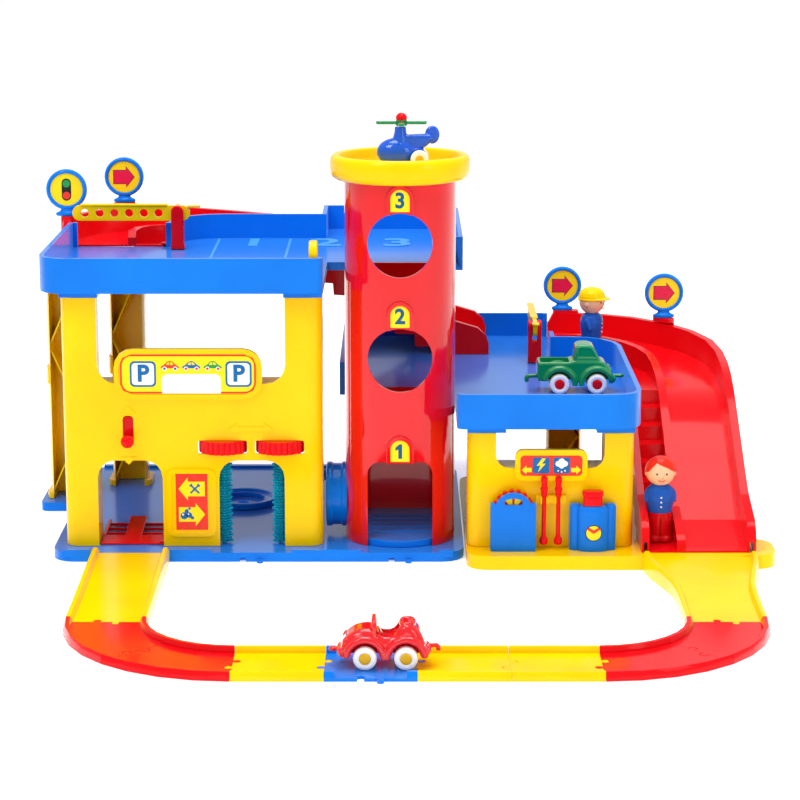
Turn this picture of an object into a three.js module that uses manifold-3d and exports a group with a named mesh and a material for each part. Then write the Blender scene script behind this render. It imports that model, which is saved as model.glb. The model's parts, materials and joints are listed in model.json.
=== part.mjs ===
// Toy parking garage with a lift tower, two decks, two slide ramps, a filling station and a road loop.
// Millimetres, +X to the right of the front, +Y to the back, +Z up. The origin is on the ground under
// the middle of the whole set.
import * as THREE from 'three';
import { mergeVertices } from 'three/addons/utils/BufferGeometryUtils.js';
import Module from 'manifold-3d';

const wasm = await Module();
wasm.setup();

// Clearances and moulded walls shared by all pieces
const gap = 0.3;
const runningGap = 0.6;
const overrun = 1;
const skin = 3;
const edgeRound = 4;

// Facet counts: halves of the steps in a rounded corner, and steps round a turned form
const coarse = 1;
const medium = 2;
const fine = 3;
const tinyRound = 8;
const smallRound = 10;
const mediumRound = 12;
const largeRound = 24;

// Road loop
const trackWidth = 82;
const railWidth = 8;
const railHeight = 9.4;
const roadThickness = 3;
const straightLength = 85;
const straightCount = 4;
const bendRadius = 131;
const bendPieces = 2;
const bendSteps = 4;
const railSteps = 3;
const loopLeftX = -147;
const loopBendY = -261;
const tongueRadius = 3.6;
const tongueReach = 3.4;
const tongueNeck = 4.5;
const tongueSides = 3;
const tongueOffset = 9;
const tongueSlack = 0.7;

// Base plate of the left building and the tower
const baseLeft = -362;
const baseRight = 75;
const baseFront = -37;
const baseBack = 351;
const baseThickness = 10;
const baseCorner = 24;
const kerbHeight = 3;
const kerbDepth = 9;
const footLobeLeft = -403;
const footLobeFront = 175;
const footLobeBack = 245;
const baseEdge = 16;

// Front wall of the left building
const wallLeft = -350;
const wallRight = -75;
const wallFront = -11;
const wallTop = 278.7;
const wallDepth = 38;
const wallCorner = 14;
const wallSkin = 3.5;
const bayLeft = -312;
const bayRight = -114;
const bayBottom = 187;
const bayCorner = 20;
const doorTop = 104;
const doorCorner = 19;
const liftDoorLeft = -314;
const liftDoorRight = -245;
const washDoorLeft = -185;
const washDoorRight = -115.5;
const signBoardLeft = -294;
const signBoardRight = -138;
const signBoardBottom = 171;
const signBoardTop = 225;
const boardRelief = 4;
const boardRim = 5;
const doorBoardLeft = -241;
const doorBoardRight = -188.5;
const doorBoardBottom = 21;
const doorBoardTop = 95;
const leverX = -280.5;
const leverSlotWidth = 11.5;
const leverSlotBottom = 118.5;
const leverSlotTop = 152.5;

// Decks
const upperFloor = 295;
const middleFloor = 155;
const deckPlate = 3.5;
const rimAbove = 28;
const rimBelow = 9;
const rimWidth = 5;
const capDrop = 16;
const upperLeft = -371;
const upperFront = -29;
const upperInnerX = -73;
const upperBack = 241.4;
const upperRight = 76;
const upperWingBack = 389;
const upperWingStep = -84;
const upperCorner = 30;
const middleLeft = -60;
const middleRight = 260.7;
const middleFront = -48;
const middleShoulder = 283;
const middleBack = 440;
const middleCorner = 56;

// Lift tower and landing pad
const towerX = 7;
const towerY = 37;
const towerRadius = 59;
const towerBack = 126;
const towerTop = 404;
const towerSkin = 3.2;
const towerSteps = 8;
const windowRadius = 34;
const lowWindowZ = 214;
const highWindowZ = 335.5;
const towerDoorWidth = 69;
const towerDoorTop = 104;
const towerDoorCorner = 15;
const deckDoorWidth = 96;
const deckDoorHeight = 70;
const plaqueWidth = 28;
const plaqueHeight = 27;
const plaqueRelief = 2;
const padRadius = 74;
const padHeight = 20.5;
const padFloor = 6;
const padRimWidth = 11;

// Ramps: entry straight, quarter turn, long straight
const rampWidth = 120;
const rampOuterRadius = 180;
const rampEntry = 13;
const rampRun = 310;
const rampStepUp = 2;
const rampWallHeight = 28;
const rampWallWidth = 9;
const rampSkin = 2.2;
const rampRailWidth = 9;
const rampRailHeight = 15;
const rampInnerWidth = 8;
const stairWidth = 29;
const rampSkirt = 8;
const landingDrop = 16;
const stairSteps = 8;
const stairStart = 78;
const stairRun = 24;
const riserRun = 0.8;
const rampFoot = 1.7;
const innerWallCap = 12;
const signBlockLength = 40;
const signBlockWidth = 13;
const signBlockRise = 3;

// Columns
const columnSize = 40;
const columnSkin = 3;
const columnCorner = 8;
const collarHeight = 20;
const collarGrowth = 2.5;
const collarBottom = 144;
const footFlare = 5;
const footHeight = 14;
const ribThickness = 2.4;

// Filling station
const stationLeft = 77;
const stationRight = 381;
const stationFront = -69;
const stationBack = 285;
const stationThickness = 15;
const stationCorner = 22;
const lobeReach = 22;
const lobeDepth = 66;
const pumpWallLeft = 78;
const pumpWallRight = 254;
const pumpWallFront = -33;
const pumpWallTop = 138.7;
const pumpBayLeft = 108;
const pumpBayRight = 222;
const pumpBayBottom = 101;
const pumpBoardLeft = 128;
const pumpBoardRight = 204;
const pumpBoardTop = 121.5;
const pumpBoardBottom = 88;

// Barriers
const boomLength = 133;
const boomHeight = 17.5;
const boomThickness = 5;
const boomHoleRadius = 4.6;
const boomHolePitch = 16.7;
const boomHoles = 6;
const postWidth = 16;
const postHeight = 50;
const pivotHeight = 41;
const pivotRadius = 2.5;

// Pumps of the filling station
const pumpCaseLeft = 101;
const pumpCaseRight = 151;
const pumpCaseShoulder = 68;
const pumpDepth = 18;
const casePlate = 4;
const caseSide = 1.8;
const humpRadius = 20;
const dialZ = 58.5;
const dialRadius = 22;
const dialThickness = 8;
const dialTeeth = 7;
const dialPin = 3;
const dialPinLength = 2.6;
const dialWindowWidth = 19;
const dialWindowBottom = 65;
const dialWindowTop = 72.5;
const bottleX = 210;
const bottleWidth = 49.4;
const bottleCentre = 32;
const bottleLobe = 12;
const bottleDepth = 19.5;
const bottleLobeDepth = 14;
const bottleHeight = 48;
const bottleLobeRise = 2;
const bottleCapWidth = 22.4;
const bottleCapDepth = 13;
const bottleCapHeight = 15.8;

// Nozzles and the clip that holds them
const nozzleX = [158.5, 173.5];
const nozzleRadius = 2.4;
const nozzleBulb = 4.4;
const nozzleSleeve = 3.4;
const nozzleFlange = 4.9;
const nozzleFlangeRise = 6;
const nozzleBottom = 20;
const nozzleTop = 94;
const clipWall = 1.6;
const clipMargin = 8.5;
const clipBottom = 64.7;
const clipTop = 72.6;

// Wheels of the toy cars, and round road signs
const carWheelRadius = 11;
const carWheelWidth = 9;
const carTrack = 42;
const carAxleSpacing = 37.5;
const carAxleRadius = 2;
const signRadius = 22.5;
const signThickness = 8;
const signFootWidth = 25;
const signFootHeight = 8;
const signStem = 6;
const signalSignRun = 18;

// Turntable ring
const turntableX = -172;
const turntableY = 177;
const turntableRadius = 40;
const turntableRing = 28;
const turntableHeight = 8;
const turntableFloor = 3;
const turntablePivot = 6;

// Car wash: upright brushes and the thumb wheels that turn them
const thumbWheelX = [-181, -120.5];
const thumbWheelY = 3.5;
const thumbWheelZ = 118.5;
const thumbWheelRadius = 26;
const thumbWheelHeight = 14;
const thumbSlotWidth = 52;
const thumbFlutes = 10;
const fluteDepth = 1.6;
const brushCore = 3;
const brushRadius = 9;
const brushTop = 100;
const bristleFaces = 8;
const bristleRows = 19;
const bristleRoot = 1.5;

// Car lift behind the left doorway
const liftPlateBack = 72;
const liftPlateHeight = 3;
const liftPlateFront = -6;
const runnerWidth = 16;
const runnerHeight = 9;
const liftRibs = 2;
const leverRadius = 7;
const leverStem = 3;
const leverZ = 127;
const leverPlateRise = 20;

// Places of the columns
const outerColumnX = -373;
const outerColumnY = 212;
const rampColumnX = -309;
const rampColumnY = 271;
const laneColumnX = 20;
const laneColumnY = 312;
const shoulderColumnX = 197;
const shoulderColumnY = 250;

// Lift platform and winding wheel
const platformHeight = 7;
const platformPlate = 3;
const platformRibs = 5;
const crankRadius = 35;
const crankZ = 52;
const crankY = 52;
const crankWidth = 15;
const crankFlutes = 10;
const crankHub = 8;
const crankPin = 4.5;

// Where the ramps start, and the fall of their lanes as shares of the long straight and of the drop
const upperRampX = -378;
const upperRampY = 241.7;
const lowerRampX = 188;
const lowerRampY = 434.7;
const laneRunShares = [0, 0.16, 0.26, 0.36, 0.76, 0.85, 0.92, 1];
const laneHeightShares = [0.9, 0.87, 0.815, 0.715, 0.155, 0.065, 0.025, 0];

// More sizes of the barriers
const boomTail = 14;
const boomHoleStart = 14;
const upperPostX = -245;
const upperPostY = 223;
const lowerPostX = 163.5;
const lowerPostY = 266;

// Corner tab
const tabRadius = 15.5;
const tabX = -88;
const tabThickness = 9;

// Toy cars: lengths from hook to hook, and side outlines as shares of length and height
const carLength = 101;
const carWidth = 42;
const hookWidth = 8;
const hookHeight = 4;
const hookZ = 20.7;
const roadsterHeight = 51.5;
const roadsterAxleX = -18.5;
const roadsterSide = [
  [-0.4, 0.16], [0.36, 0.16], [0.385, 0.28], [0.385, 0.4], [0.365, 0.62], [0.31, 0.82], [0.24, 0.92],
  [0.18, 0.915], [0.14, 0.79], [0.11, 0.68], [0.04, 0.665], [-0.01, 0.7], [-0.03, 0.82], [-0.05, 1],
  [-0.085, 1], [-0.09, 0.845], [-0.2, 0.835], [-0.3, 0.76], [-0.38, 0.6], [-0.415, 0.42], [-0.42, 0.3],
];
const roadsterSeatShares = [-0.04, 0.148, 0.44];
const truckHeight = 59.5;
const truckAxleX = -17.4;
const truckAxleSpacing = 41;
const truckSide = [
  [-0.4, 0.14], [0.4, 0.14], [0.42, 0.2], [0.39, 0.4], [0.33, 0.6], [0.3, 0.645], [0.27, 0.65],
  [0.216, 0.92], [0.17, 0.995], [0.07, 1], [0.026, 0.98], [-0.022, 0.75], [-0.03, 0.65], [-0.07, 0.605],
  [-0.38, 0.605], [-0.415, 0.55], [-0.415, 0.28],
];
const truckBedShares = [-0.375, -0.075, 0.44];
const bedWall = 7;
const roadsterX = -6.5;
const truckX = 199;
const truckY = 105;

// Helicopter: cabin, tail, mast and rotor
const helicopterX = 8.5;
const cabinX = -5.3;
const cabinLength = 20.5;
const cabinWidth = 13.4;
const cabinHeight = 14.6;
const cabinZ = 15.6;
const cabinRings = 6;
const bellyLength = 13;
const bellyWidth = 10;
const flyerWheelX = 19;
const flyerWheelRadius = 9.6;
const flyerWheelInner = 10.6;
const flyerWheelOuter = 17;
const tailReach = 32.5;
const tailZ = 32.5;
const tailHalfWidth = 4.4;
const tailRoot = 16;
const tailRootHeight = 14;
const tailEndHeight = 7;
const finRadius = 9.6;
const finHalfThickness = 2.6;
const mastFoot = 9;
const mastTop = 5.9;
const mastHeight = 42.4;
const bladeLength = 27;
const bladeWidth = 6;
const bladeRise = 2.2;
const bladeThickness = 3.4;
const rotorHub = 6;
const rotorHubHeight = 7;
const rotorPin = 2.2;
const rotorPinLength = 6.5;
const rotorBall = 5.9;

// Play figures, and where they stand on the lower ramp: a turn on its landing, a share of its straight
const legRadius = 12.8;
const legHeight = 33;
const torsoRadius = 15.2;
const shoulderHeight = 57;
const neckHeight = 62;
const neckRadius = 7;
const headRadius = 16;
const headHeight = 75.6;
const hatRadius = 16.9;
const hatBottom = 77;
const figureTop = 92;
const armRadius = 2.8;
const armReach = 14.6;
const armLow = 41;
const armSides = 6;
const workerTurn = 24;
const driverShare = 0.86;

// Colours, roughness and metalness of the moulded plastics
const finishes = {
  yellow: [0xffd100, 0.28, 0],
  blue: [0x1a74e8, 0.26, 0],
  red: [0xe8202a, 0.22, 0],
  green: [0x0b8a4a, 0.3, 0],
  teal: [0x18a6c8, 0.5, 0],
  white: [0xf2f1ee, 0.35, 0],
};

// Makes a solid from a closed geometry, its faces turned outwards
function solid(geometry) {
  const bare = new THREE.BufferGeometry();
  bare.setAttribute('position', geometry.getAttribute('position'));
  if (geometry.index) {
    bare.setIndex(geometry.index);
  }
  const merged = mergeVertices(bare);
  const places = Float32Array.from(merged.getAttribute('position').array);
  const corners = [];
  let volume = 0;
  const index = merged.index.array;
  for (let i = 0; i < index.length; i += 3) {
    const [a, b, c] = [index[i], index[i + 1], index[i + 2]];
    if (a !== b && b !== c && c !== a) {
      corners.push(a, b, c);
      const pa = new THREE.Vector3().fromArray(places, a * 3);
      const pb = new THREE.Vector3().fromArray(places, b * 3);
      const pc = new THREE.Vector3().fromArray(places, c * 3);
      volume += pa.dot(pb.cross(pc));
    }
  }
  if (volume < 0) {
    corners.reverse();
  }
  const mesh = new wasm.Mesh({ numProp: 3, vertProperties: places, triVerts: Uint32Array.from(corners) });
  return new wasm.Manifold(mesh);
}

// Turns a solid back into a geometry
function geometryOf(body) {
  const mesh = body.getMesh();
  const geometry = new THREE.BufferGeometry();
  geometry.setAttribute('position', new THREE.BufferAttribute(mesh.vertProperties, 3));
  geometry.setIndex(new THREE.BufferAttribute(mesh.triVerts, 1));
  return geometry;
}

function join(...bodies) {
  return bodies.reduce((sum, body) => sum.add(body));
}

function cut(body, ...tools) {
  return tools.reduce((rest, tool) => rest.subtract(tool), body);
}

// Moves a solid, after turning it about Z
function moved(body, x, y, z, turn = 0) {
  return solid(geometryOf(body).rotateZ(turn).translate(x, y, z));
}

function block(low, high) {
  const size = high.map((value, axis) => value - low[axis]);
  const middle = high.map((value, axis) => (value + low[axis]) / 2);
  return solid(new THREE.BoxGeometry(...size).translate(...middle));
}

function polygon(points) {
  return new THREE.Shape(points.map(([x, y]) => new THREE.Vector2(x, y)));
}

// A rectangle with its four corners rounded
function rounded(left, low, right, high, radius) {
  const shape = new THREE.Shape();
  const quarter = Math.PI / 2;
  shape.absarc(right - radius, low + radius, radius, -quarter, 0);
  shape.absarc(right - radius, high - radius, radius, 0, quarter);
  shape.absarc(left + radius, high - radius, radius, quarter, Math.PI);
  shape.absarc(left + radius, low + radius, radius, Math.PI, Math.PI + quarter);
  return shape;
}

// A doorway: square feet and a rounded top
function arched(left, low, right, high, radius) {
  const shape = new THREE.Shape();
  shape.moveTo(left, low);
  shape.lineTo(right, low);
  shape.absarc(right - radius, high - radius, radius, 0, Math.PI / 2);
  shape.absarc(left + radius, high - radius, radius, Math.PI / 2, Math.PI);
  return shape;
}

function disc(x, y, radius) {
  return rounded(x - radius, y - radius, x + radius, y + radius, radius);
}

// Three ways to thicken an outline: upwards, along Y and along X
function slab(shape, bottom, top, curveSegments = medium) {
  const geometry = new THREE.ExtrudeGeometry(
    shape,
    { depth: top - bottom, bevelEnabled: false, curveSegments },
  );
  return solid(geometry.translate(0, 0, bottom));
}

function panel(shape, front, back, curveSegments = medium) {
  const geometry = new THREE.ExtrudeGeometry(
    shape,
    { depth: back - front, bevelEnabled: false, curveSegments },
  );
  return solid(geometry.rotateX(Math.PI / 2).translate(0, back, 0));
}

function profile(shape, left, right, curveSegments = medium) {
  const geometry = new THREE.ExtrudeGeometry(
    shape,
    { depth: right - left, bevelEnabled: false, curveSegments },
  );
  const turn = new THREE.Matrix4().makeBasis(
    new THREE.Vector3(0, 1, 0),
    new THREE.Vector3(0, 0, 1),
    new THREE.Vector3(1, 0, 0),
  );
  return solid(geometry.applyMatrix4(turn).translate(left, 0, 0));
}

// A turned form about the Z axis from points of radius and height
function turned(points, segments) {
  const outline = points.map(([radius, height]) => new THREE.Vector2(radius, height));
  return solid(new THREE.LatheGeometry(outline, segments).rotateX(Math.PI / 2));
}

// A turned form about the Y axis
function turnedAlongY(points, segments) {
  return solid(geometryOf(turned(points, segments)).rotateX(-Math.PI / 2));
}

// A turned form about the X axis
function turnedAlongX(points, segments) {
  return solid(geometryOf(turned(points, segments)).rotateY(Math.PI / 2));
}

function rod(radius, low, high, segments) {
  return turned([[0, low], [radius, low], [radius, high], [0, high]], segments);
}

// An ellipsoid from a sphere
function ball(x, y, z, radiusX, radiusY, radiusZ, around, rings) {
  const geometry = new THREE.SphereGeometry(1, around, rings).rotateX(Math.PI / 2);
  return solid(geometry.scale(radiusX, radiusY, radiusZ).translate(x, y, z));
}

// Sweeps a section, given as points across and up, through stations with a place and a sideways direction
function sweep(stations, sectionAt) {
  const sections = stations.map((station) => sectionAt(station));
  const size = sections[0].length;
  const places = stations.flatMap((station, i) => sections[i].flatMap(([across, up]) => [
    station.x + station.sideX * across,
    station.y + station.sideY * across,
    station.z + up,
  ]));
  const faces = [];
  for (let i = 0; i + 1 < stations.length; i += 1) {
    for (let j = 0; j < size; j += 1) {
      const k = (j + 1) % size;
      const near = i * size;
      const far = near + size;
      faces.push(near + j, near + k, far + k, near + j, far + k, far + j);
    }
  }
  const ends = [[0, sections[0], true], [places.length / 3 - size, sections.at(-1), false]];
  for (const [offset, section, flip] of ends) {
    const outline = section.map(([across, up]) => new THREE.Vector2(across, up));
    const upright = THREE.ShapeUtils.area(outline) > 0;
    for (const face of THREE.ShapeUtils.triangulateShape(outline, [])) {
      const area = THREE.ShapeUtils.area(face.map((corner) => outline[corner]));
      const ordered = (area > 0) === (upright !== flip) ? face : [face[0], face[2], face[1]];
      faces.push(...ordered.map((corner) => corner + offset));
    }
  }
  const geometry = new THREE.BufferGeometry();
  geometry.setAttribute('position', new THREE.BufferAttribute(Float32Array.from(places), 3));
  geometry.setIndex(faces);
  return solid(geometry);
}

const garage = new THREE.Group();

function addPiece(name, body, finish, group = garage) {
  const [color, roughness, metalness] = finishes[finish];
  const mesh = new THREE.Mesh(
    geometryOf(body),
    new THREE.MeshStandardMaterial({ color, roughness, metalness }),
  );
  mesh.name = name;
  group.add(mesh);
  return mesh;
}

function placedGroup(x, y, z, turn = 0) {
  const group = new THREE.Group();
  group.position.set(x, y, z);
  group.rotation.z = turn;
  garage.add(group);
  return group;
}

// The puzzle tongue on an end that faces +X, and the same form grown as the cutter of its socket
function tongue(height, slack) {
  const neck = tongueNeck / 2 + slack;
  const outline = [[-overrun, -neck]];
  for (let i = -tongueSides; i <= tongueSides; i += 1) {
    const angle = (i * Math.PI) / (tongueSides + 1);
    const reach = tongueRadius + slack;
    outline.push([tongueReach + reach * Math.cos(angle), reach * Math.sin(angle)]);
  }
  outline.push([-overrun, neck]);
  return slab(polygon(outline), 0, height);
}

// Gives a plate's end its tongue on one side of the middle and the socket for a neighbour's on the other
function linkEnd(body, x, y, turn, height) {
  const sideX = -Math.sin(turn) * tongueOffset;
  const sideY = Math.cos(turn) * tongueOffset;
  const key = moved(tongue(height, 0), x + sideX, y + sideY, 0, turn);
  const socket = moved(
    tongue(height + overrun * 2, tongueSlack),
    x - sideX,
    y - sideY,
    -overrun,
    turn + Math.PI,
  );
  return join(cut(body, socket), key);
}

// Section of the road between its two rounded rails, across and up from the left edge
function roadSection() {
  const crown = railWidth / 2;
  const shoulder = railHeight - crown;
  const points = [[0, 0], [trackWidth, 0]];
  const railTop = (left) => {
    for (let i = 0; i <= railSteps; i += 1) {
      const angle = (Math.PI * i) / railSteps;
      points.push([left + crown + crown * Math.cos(angle), shoulder + crown * Math.sin(angle)]);
    }
  };
  railTop(trackWidth - railWidth);
  points.push([trackWidth - railWidth, roadThickness], [railWidth, roadThickness]);
  railTop(0);
  return points;
}

// A straight road along +X, centred on its start
function straightRoad(length) {
  const stations = [0, length].map((x) => ({ x, y: -trackWidth / 2, z: 0, sideX: 0, sideY: 1 }));
  return sweep(stations, roadSection);
}

// A bend's piece about the origin between two angles
function bentRoad(start, end) {
  const stations = [];
  for (let i = 0; i <= bendSteps; i += 1) {
    const angle = start + ((end - start) * i) / bendSteps;
    const radius = bendRadius - trackWidth / 2;
    stations.push({
      x: radius * Math.cos(angle),
      y: radius * Math.sin(angle),
      z: 0,
      sideX: Math.cos(angle),
      sideY: Math.sin(angle),
    });
  }
  return sweep(stations, roadSection);
}

function addRoadLoop() {
  const frontY = loopBendY - bendRadius;
  const names = ['road_straight_a', 'road_crossing', 'road_straight_b', 'road_straight_c'];
  names.slice(0, straightCount).forEach((name, i) => {
    const inset = gap / 2;
    const start = loopLeftX + straightLength * i;
    let road = moved(straightRoad(straightLength - gap), inset, 0, 0);
    if (name === 'road_crossing') {
      const span = trackWidth - railWidth * 2;
      const low = (straightLength - span) / 2;
      road = cut(road, block([low, -trackWidth, roadThickness], [low + span, trackWidth, railHeight * 2]));
      road = linkEnd(road, straightLength / 2, -trackWidth / 2, -Math.PI / 2, roadThickness);
    }
    road = linkEnd(road, straightLength - inset, 0, 0, roadThickness);
    road = linkEnd(road, inset, 0, Math.PI, roadThickness);
    addPiece(name, road, name === 'road_crossing' ? 'blue' : 'yellow', placedGroup(start, frontY, 0));
  });
  const sides = [
    ['left', loopLeftX, Math.PI],
    ['right', loopLeftX + straightLength * straightCount, -Math.PI / 2],
  ];
  for (const [side, centreX, startAngle] of sides) {
    const group = placedGroup(centreX, loopBendY, 0);
    for (let i = 0; i < bendPieces; i += 1) {
      const turn = Math.PI / 2 / bendPieces;
      const inset = gap / 2 / bendRadius;
      const start = startAngle + turn * i;
      const low = start + inset;
      const high = start + turn - inset;
      let road = bentRoad(low, high);
      road = linkEnd(
        road,
        bendRadius * Math.cos(low),
        bendRadius * Math.sin(low),
        low - Math.PI / 2,
        roadThickness,
      );
      road = linkEnd(
        road,
        bendRadius * Math.cos(high),
        bendRadius * Math.sin(high),
        high + Math.PI / 2,
        roadThickness,
      );
      addPiece(`road_bend_${side}_${i + 1}`, road, 'red', group);
    }
  }
}

// A road that climbs from the loop to a base plate, its far end wider by the flares
function climbingRoad(length, rise, flareLeft, flareRight) {
  const steps = 6;
  const stations = [];
  for (let i = 0; i <= steps; i += 1) {
    const share = i / steps;
    const lift = THREE.MathUtils.smoothstep(share, 0, 1) * rise;
    const flare = THREE.MathUtils.smoothstep(share, 0.4, 1);
    stations.push({ x: flareLeft * -flare, y: length * share, z: 0, sideX: 1, sideY: 0, lift, flare });
  }
  const road = sweep(stations, (station) => roadSection().map(([across, up]) => {
    const wider = across > trackWidth / 2 ? (flareLeft + flareRight) * station.flare : 0;
    return [across + wider, up === 0 ? 0 : up + station.lift];
  }));
  return linkEnd(road, trackWidth / 2, 0, -Math.PI / 2, roadThickness);
}

function addClimbingRoads() {
  const start = loopBendY + gap;
  const leftX = loopLeftX - bendRadius - trackWidth / 2;
  const rightX = loopLeftX + straightLength * straightCount + bendRadius - trackWidth / 2;
  const leftRoad = climbingRoad(baseFront - gap - start, baseThickness - roadThickness, 0, 0);
  addPiece('road_climb_left', leftRoad, 'yellow', placedGroup(leftX, start, 0));
  const slideLeft = stationRight - rampWidth;
  const flareLeft = rightX - slideLeft;
  const flareRight = stationRight - rightX - trackWidth;
  const rise = stationThickness - roadThickness;
  const rightRoad = climbingRoad(stationFront - gap - start, rise, flareLeft, flareRight);
  addPiece('road_climb_right', rightRoad, 'yellow', placedGroup(rightX, start, 0));
}

// The base plate: a rounded slab with a kerb between its doorway gates, and a lobe under the outer column
function addBasePlate() {
  const outline = rounded(baseLeft, baseFront, baseRight, baseBack, baseCorner);
  const lobe = rounded(footLobeLeft, footLobeFront, baseLeft + baseCorner, footLobeBack, columnCorner);
  let plate = join(slab(outline, 0, baseThickness), slab(lobe, 0, baseThickness));
  const kerbs = [
    [baseLeft + baseCorner / 2, liftDoorLeft - railWidth],
    [liftDoorRight + railWidth, washDoorLeft - railWidth],
    [washDoorRight + railWidth, towerX - trackWidth / 2],
    [towerX + trackWidth / 2, baseRight - baseCorner / 2],
  ];
  for (const [left, right] of kerbs) {
    plate = join(
      plate,
      block(
        [left, baseFront, baseThickness / 2],
        [right, baseFront + kerbDepth, baseThickness + kerbHeight],
      ),
    );
  }
  const backEdge = [baseLeft + baseCorner / 2, baseBack - kerbDepth, baseThickness / 2];
  plate = join(
    plate,
    block(backEdge, [baseRight - baseCorner / 2, baseBack - skin / 2, baseThickness + kerbHeight]),
  );
  const gates = [(washDoorLeft + washDoorRight) / 2, towerX];
  for (const x of gates) {
    plate = linkEnd(plate, x, baseFront, -Math.PI / 2, roadThickness);
  }
  const hollow = rounded(
    baseLeft + skin,
    baseFront + baseEdge,
    baseRight - skin,
    baseBack - skin,
    baseCorner - skin,
  );
  plate = cut(plate, slab(hollow, -overrun, baseThickness - skin));
  const pivot = rod(turntablePivot + runningGap, -overrun, baseThickness + overrun, mediumRound);
  plate = cut(plate, moved(pivot, turntableX, turntableY, 0));
  addPiece('base_plate', plate, 'blue');
}

// Turntable in the wash bay: a dished disc with a raised ring, on a pivot in the base plate

function addTurntable() {
  const table = turned([
    [0, -baseThickness / 2 + gap],
    [turntablePivot, -baseThickness / 2 + gap],
    [turntablePivot, gap],
    [turntableRadius, gap],
    [turntableRadius, turntableHeight - edgeRound / 2],
    [turntableRadius - edgeRound / 2, turntableHeight],
    [turntableRing + edgeRound / 2, turntableHeight],
    [turntableRing, turntableFloor],
    [0, turntableFloor],
  ], largeRound);
  addPiece('turntable', table, 'blue', placedGroup(turntableX, turntableY, baseThickness));
}

// The front wall: a shallow tray on edge, with a deep bay above, two doorways, a sign board and slots
function addFrontWall() {
  const back = wallFront + wallDepth;
  const bottom = baseThickness + gap;
  const outer = rounded(wallLeft, wallFront, wallRight, back + wallCorner * 2, wallCorner);
  const innerCorner = wallCorner - wallSkin;
  const inner = rounded(
    wallLeft + wallSkin,
    wallFront + wallSkin,
    wallRight - wallSkin,
    back + wallCorner * 3,
    innerCorner,
  );
  const far = [wallRight + overrun, back + wallCorner * 3, wallTop + overrun];
  let wall = cut(slab(outer, bottom, wallTop), slab(inner, bottom - overrun, wallTop + overrun));
  wall = cut(wall, block([wallLeft - overrun, back, bottom - overrun], far));
  const jamb = (x) => block(
    [x - wallSkin / 2, wallFront + wallSkin / 2, bottom],
    [x + wallSkin / 2, back, wallTop - overrun],
  );
  wall = join(wall, jamb(liftDoorLeft - wallSkin / 2), jamb(bayRight + wallSkin * 1.5));
  const boardBack = wallFront + wallSkin;
  const boardFront = wallFront - boardRelief;
  const board = rounded(signBoardLeft, signBoardBottom, signBoardRight, signBoardTop, bayCorner);
  const field = rounded(
    signBoardLeft + boardRim,
    signBoardBottom + boardRim,
    signBoardRight - boardRim,
    signBoardTop - boardRim,
    bayCorner - boardRim,
  );
  const bay = rounded(bayLeft, bayBottom, bayRight, wallTop + bayCorner * 2, bayCorner);
  const cutFront = wallFront - overrun;
  wall = cut(wall, panel(bay, cutFront, wallFront + wallSkin * 2));
  const sillRight = bayRight + wallSkin * 1.5;
  wall = join(
    wall,
    block(
      [liftDoorLeft - wallSkin / 2, wallFront + wallSkin / 2, bayBottom - wallSkin],
      [sillRight, back - overrun, bayBottom],
    ),
  );
  wall = join(wall, panel(board, boardFront, boardBack - overrun));
  wall = cut(wall, panel(field, boardFront - overrun, boardFront + boardRelief / 2, coarse));
  const liftDoor = arched(liftDoorLeft, bottom - overrun, liftDoorRight, doorTop, doorCorner);
  const washDoor = arched(washDoorLeft, bottom - overrun, washDoorRight, doorTop, doorCorner);
  const lever = rounded(
    leverX - leverSlotWidth / 2,
    leverSlotBottom,
    leverX + leverSlotWidth / 2,
    leverSlotTop,
    leverSlotWidth / 3,
  );
  wall = cut(
    wall,
    panel(liftDoor, cutFront, boardBack + overrun),
    panel(washDoor, cutFront, boardBack + overrun),
  );
  wall = cut(wall, panel(lever, cutFront, boardBack + overrun, coarse));
  for (const x of thumbWheelX) {
    const half = thumbSlotWidth / 2;
    const low = thumbWheelZ - thumbWheelHeight / 2 - runningGap;
    const high = thumbWheelZ + thumbWheelHeight / 2 + runningGap / 3;
    wall = cut(
      wall,
      panel(rounded(x - half, low, x + half, high, edgeRound / 2), cutFront, boardBack + overrun, coarse),
    );
  }
  const frame = rounded(doorBoardLeft, doorBoardBottom, doorBoardRight, doorBoardTop, edgeRound * 2);
  const frameField = rounded(
    doorBoardLeft + boardRim,
    doorBoardBottom + boardRim,
    doorBoardRight - boardRim,
    doorBoardTop - boardRim,
    edgeRound,
  );
  const frameFront = wallFront - boardRelief / 2;
  wall = join(wall, panel(frame, frameFront, boardBack - overrun, coarse));
  wall = cut(wall, panel(frameField, frameFront - overrun, wallFront - gap, coarse));
  const shelf = [thumbWheelX[0] - thumbWheelRadius, wallFront + wallSkin / 2];
  const shelfLow = thumbWheelZ + thumbWheelHeight / 2 + runningGap;
  wall = join(
    wall,
    block([...shelf, shelfLow], [thumbWheelX[1] + thumbWheelRadius, back - overrun, shelfLow + wallSkin]),
  );
  for (const x of thumbWheelX) {
    const sweepRadius = thumbWheelRadius + runningGap * 2;
    wall = cut(
      wall,
      slab(disc(x, thumbWheelY, sweepRadius), shelfLow - thumbWheelHeight - runningGap, shelfLow - gap),
    );
    wall = cut(
      wall,
      slab(
        disc(x, thumbWheelY, brushCore + runningGap),
        shelfLow - overrun,
        shelfLow + wallSkin + overrun,
        coarse,
      ),
    );
  }
  addPiece('front_wall', wall, 'yellow');
}

// Car wash: two upright brushes, each turned by a fluted thumb wheel that shows through the wall

function flutedWheel(radius, height, count, depth) {
  const points = [];
  for (let i = 0; i < count; i += 1) {
    const inner = radius - depth;
    for (const [share, reach] of [[0, radius], [0.5, radius], [0.55, inner], [0.95, inner]]) {
      const angle = ((i + share) / count) * Math.PI * 2;
      points.push([reach * Math.cos(angle), reach * Math.sin(angle)]);
    }
  }
  return slab(polygon(points), 0, height);
}

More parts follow.
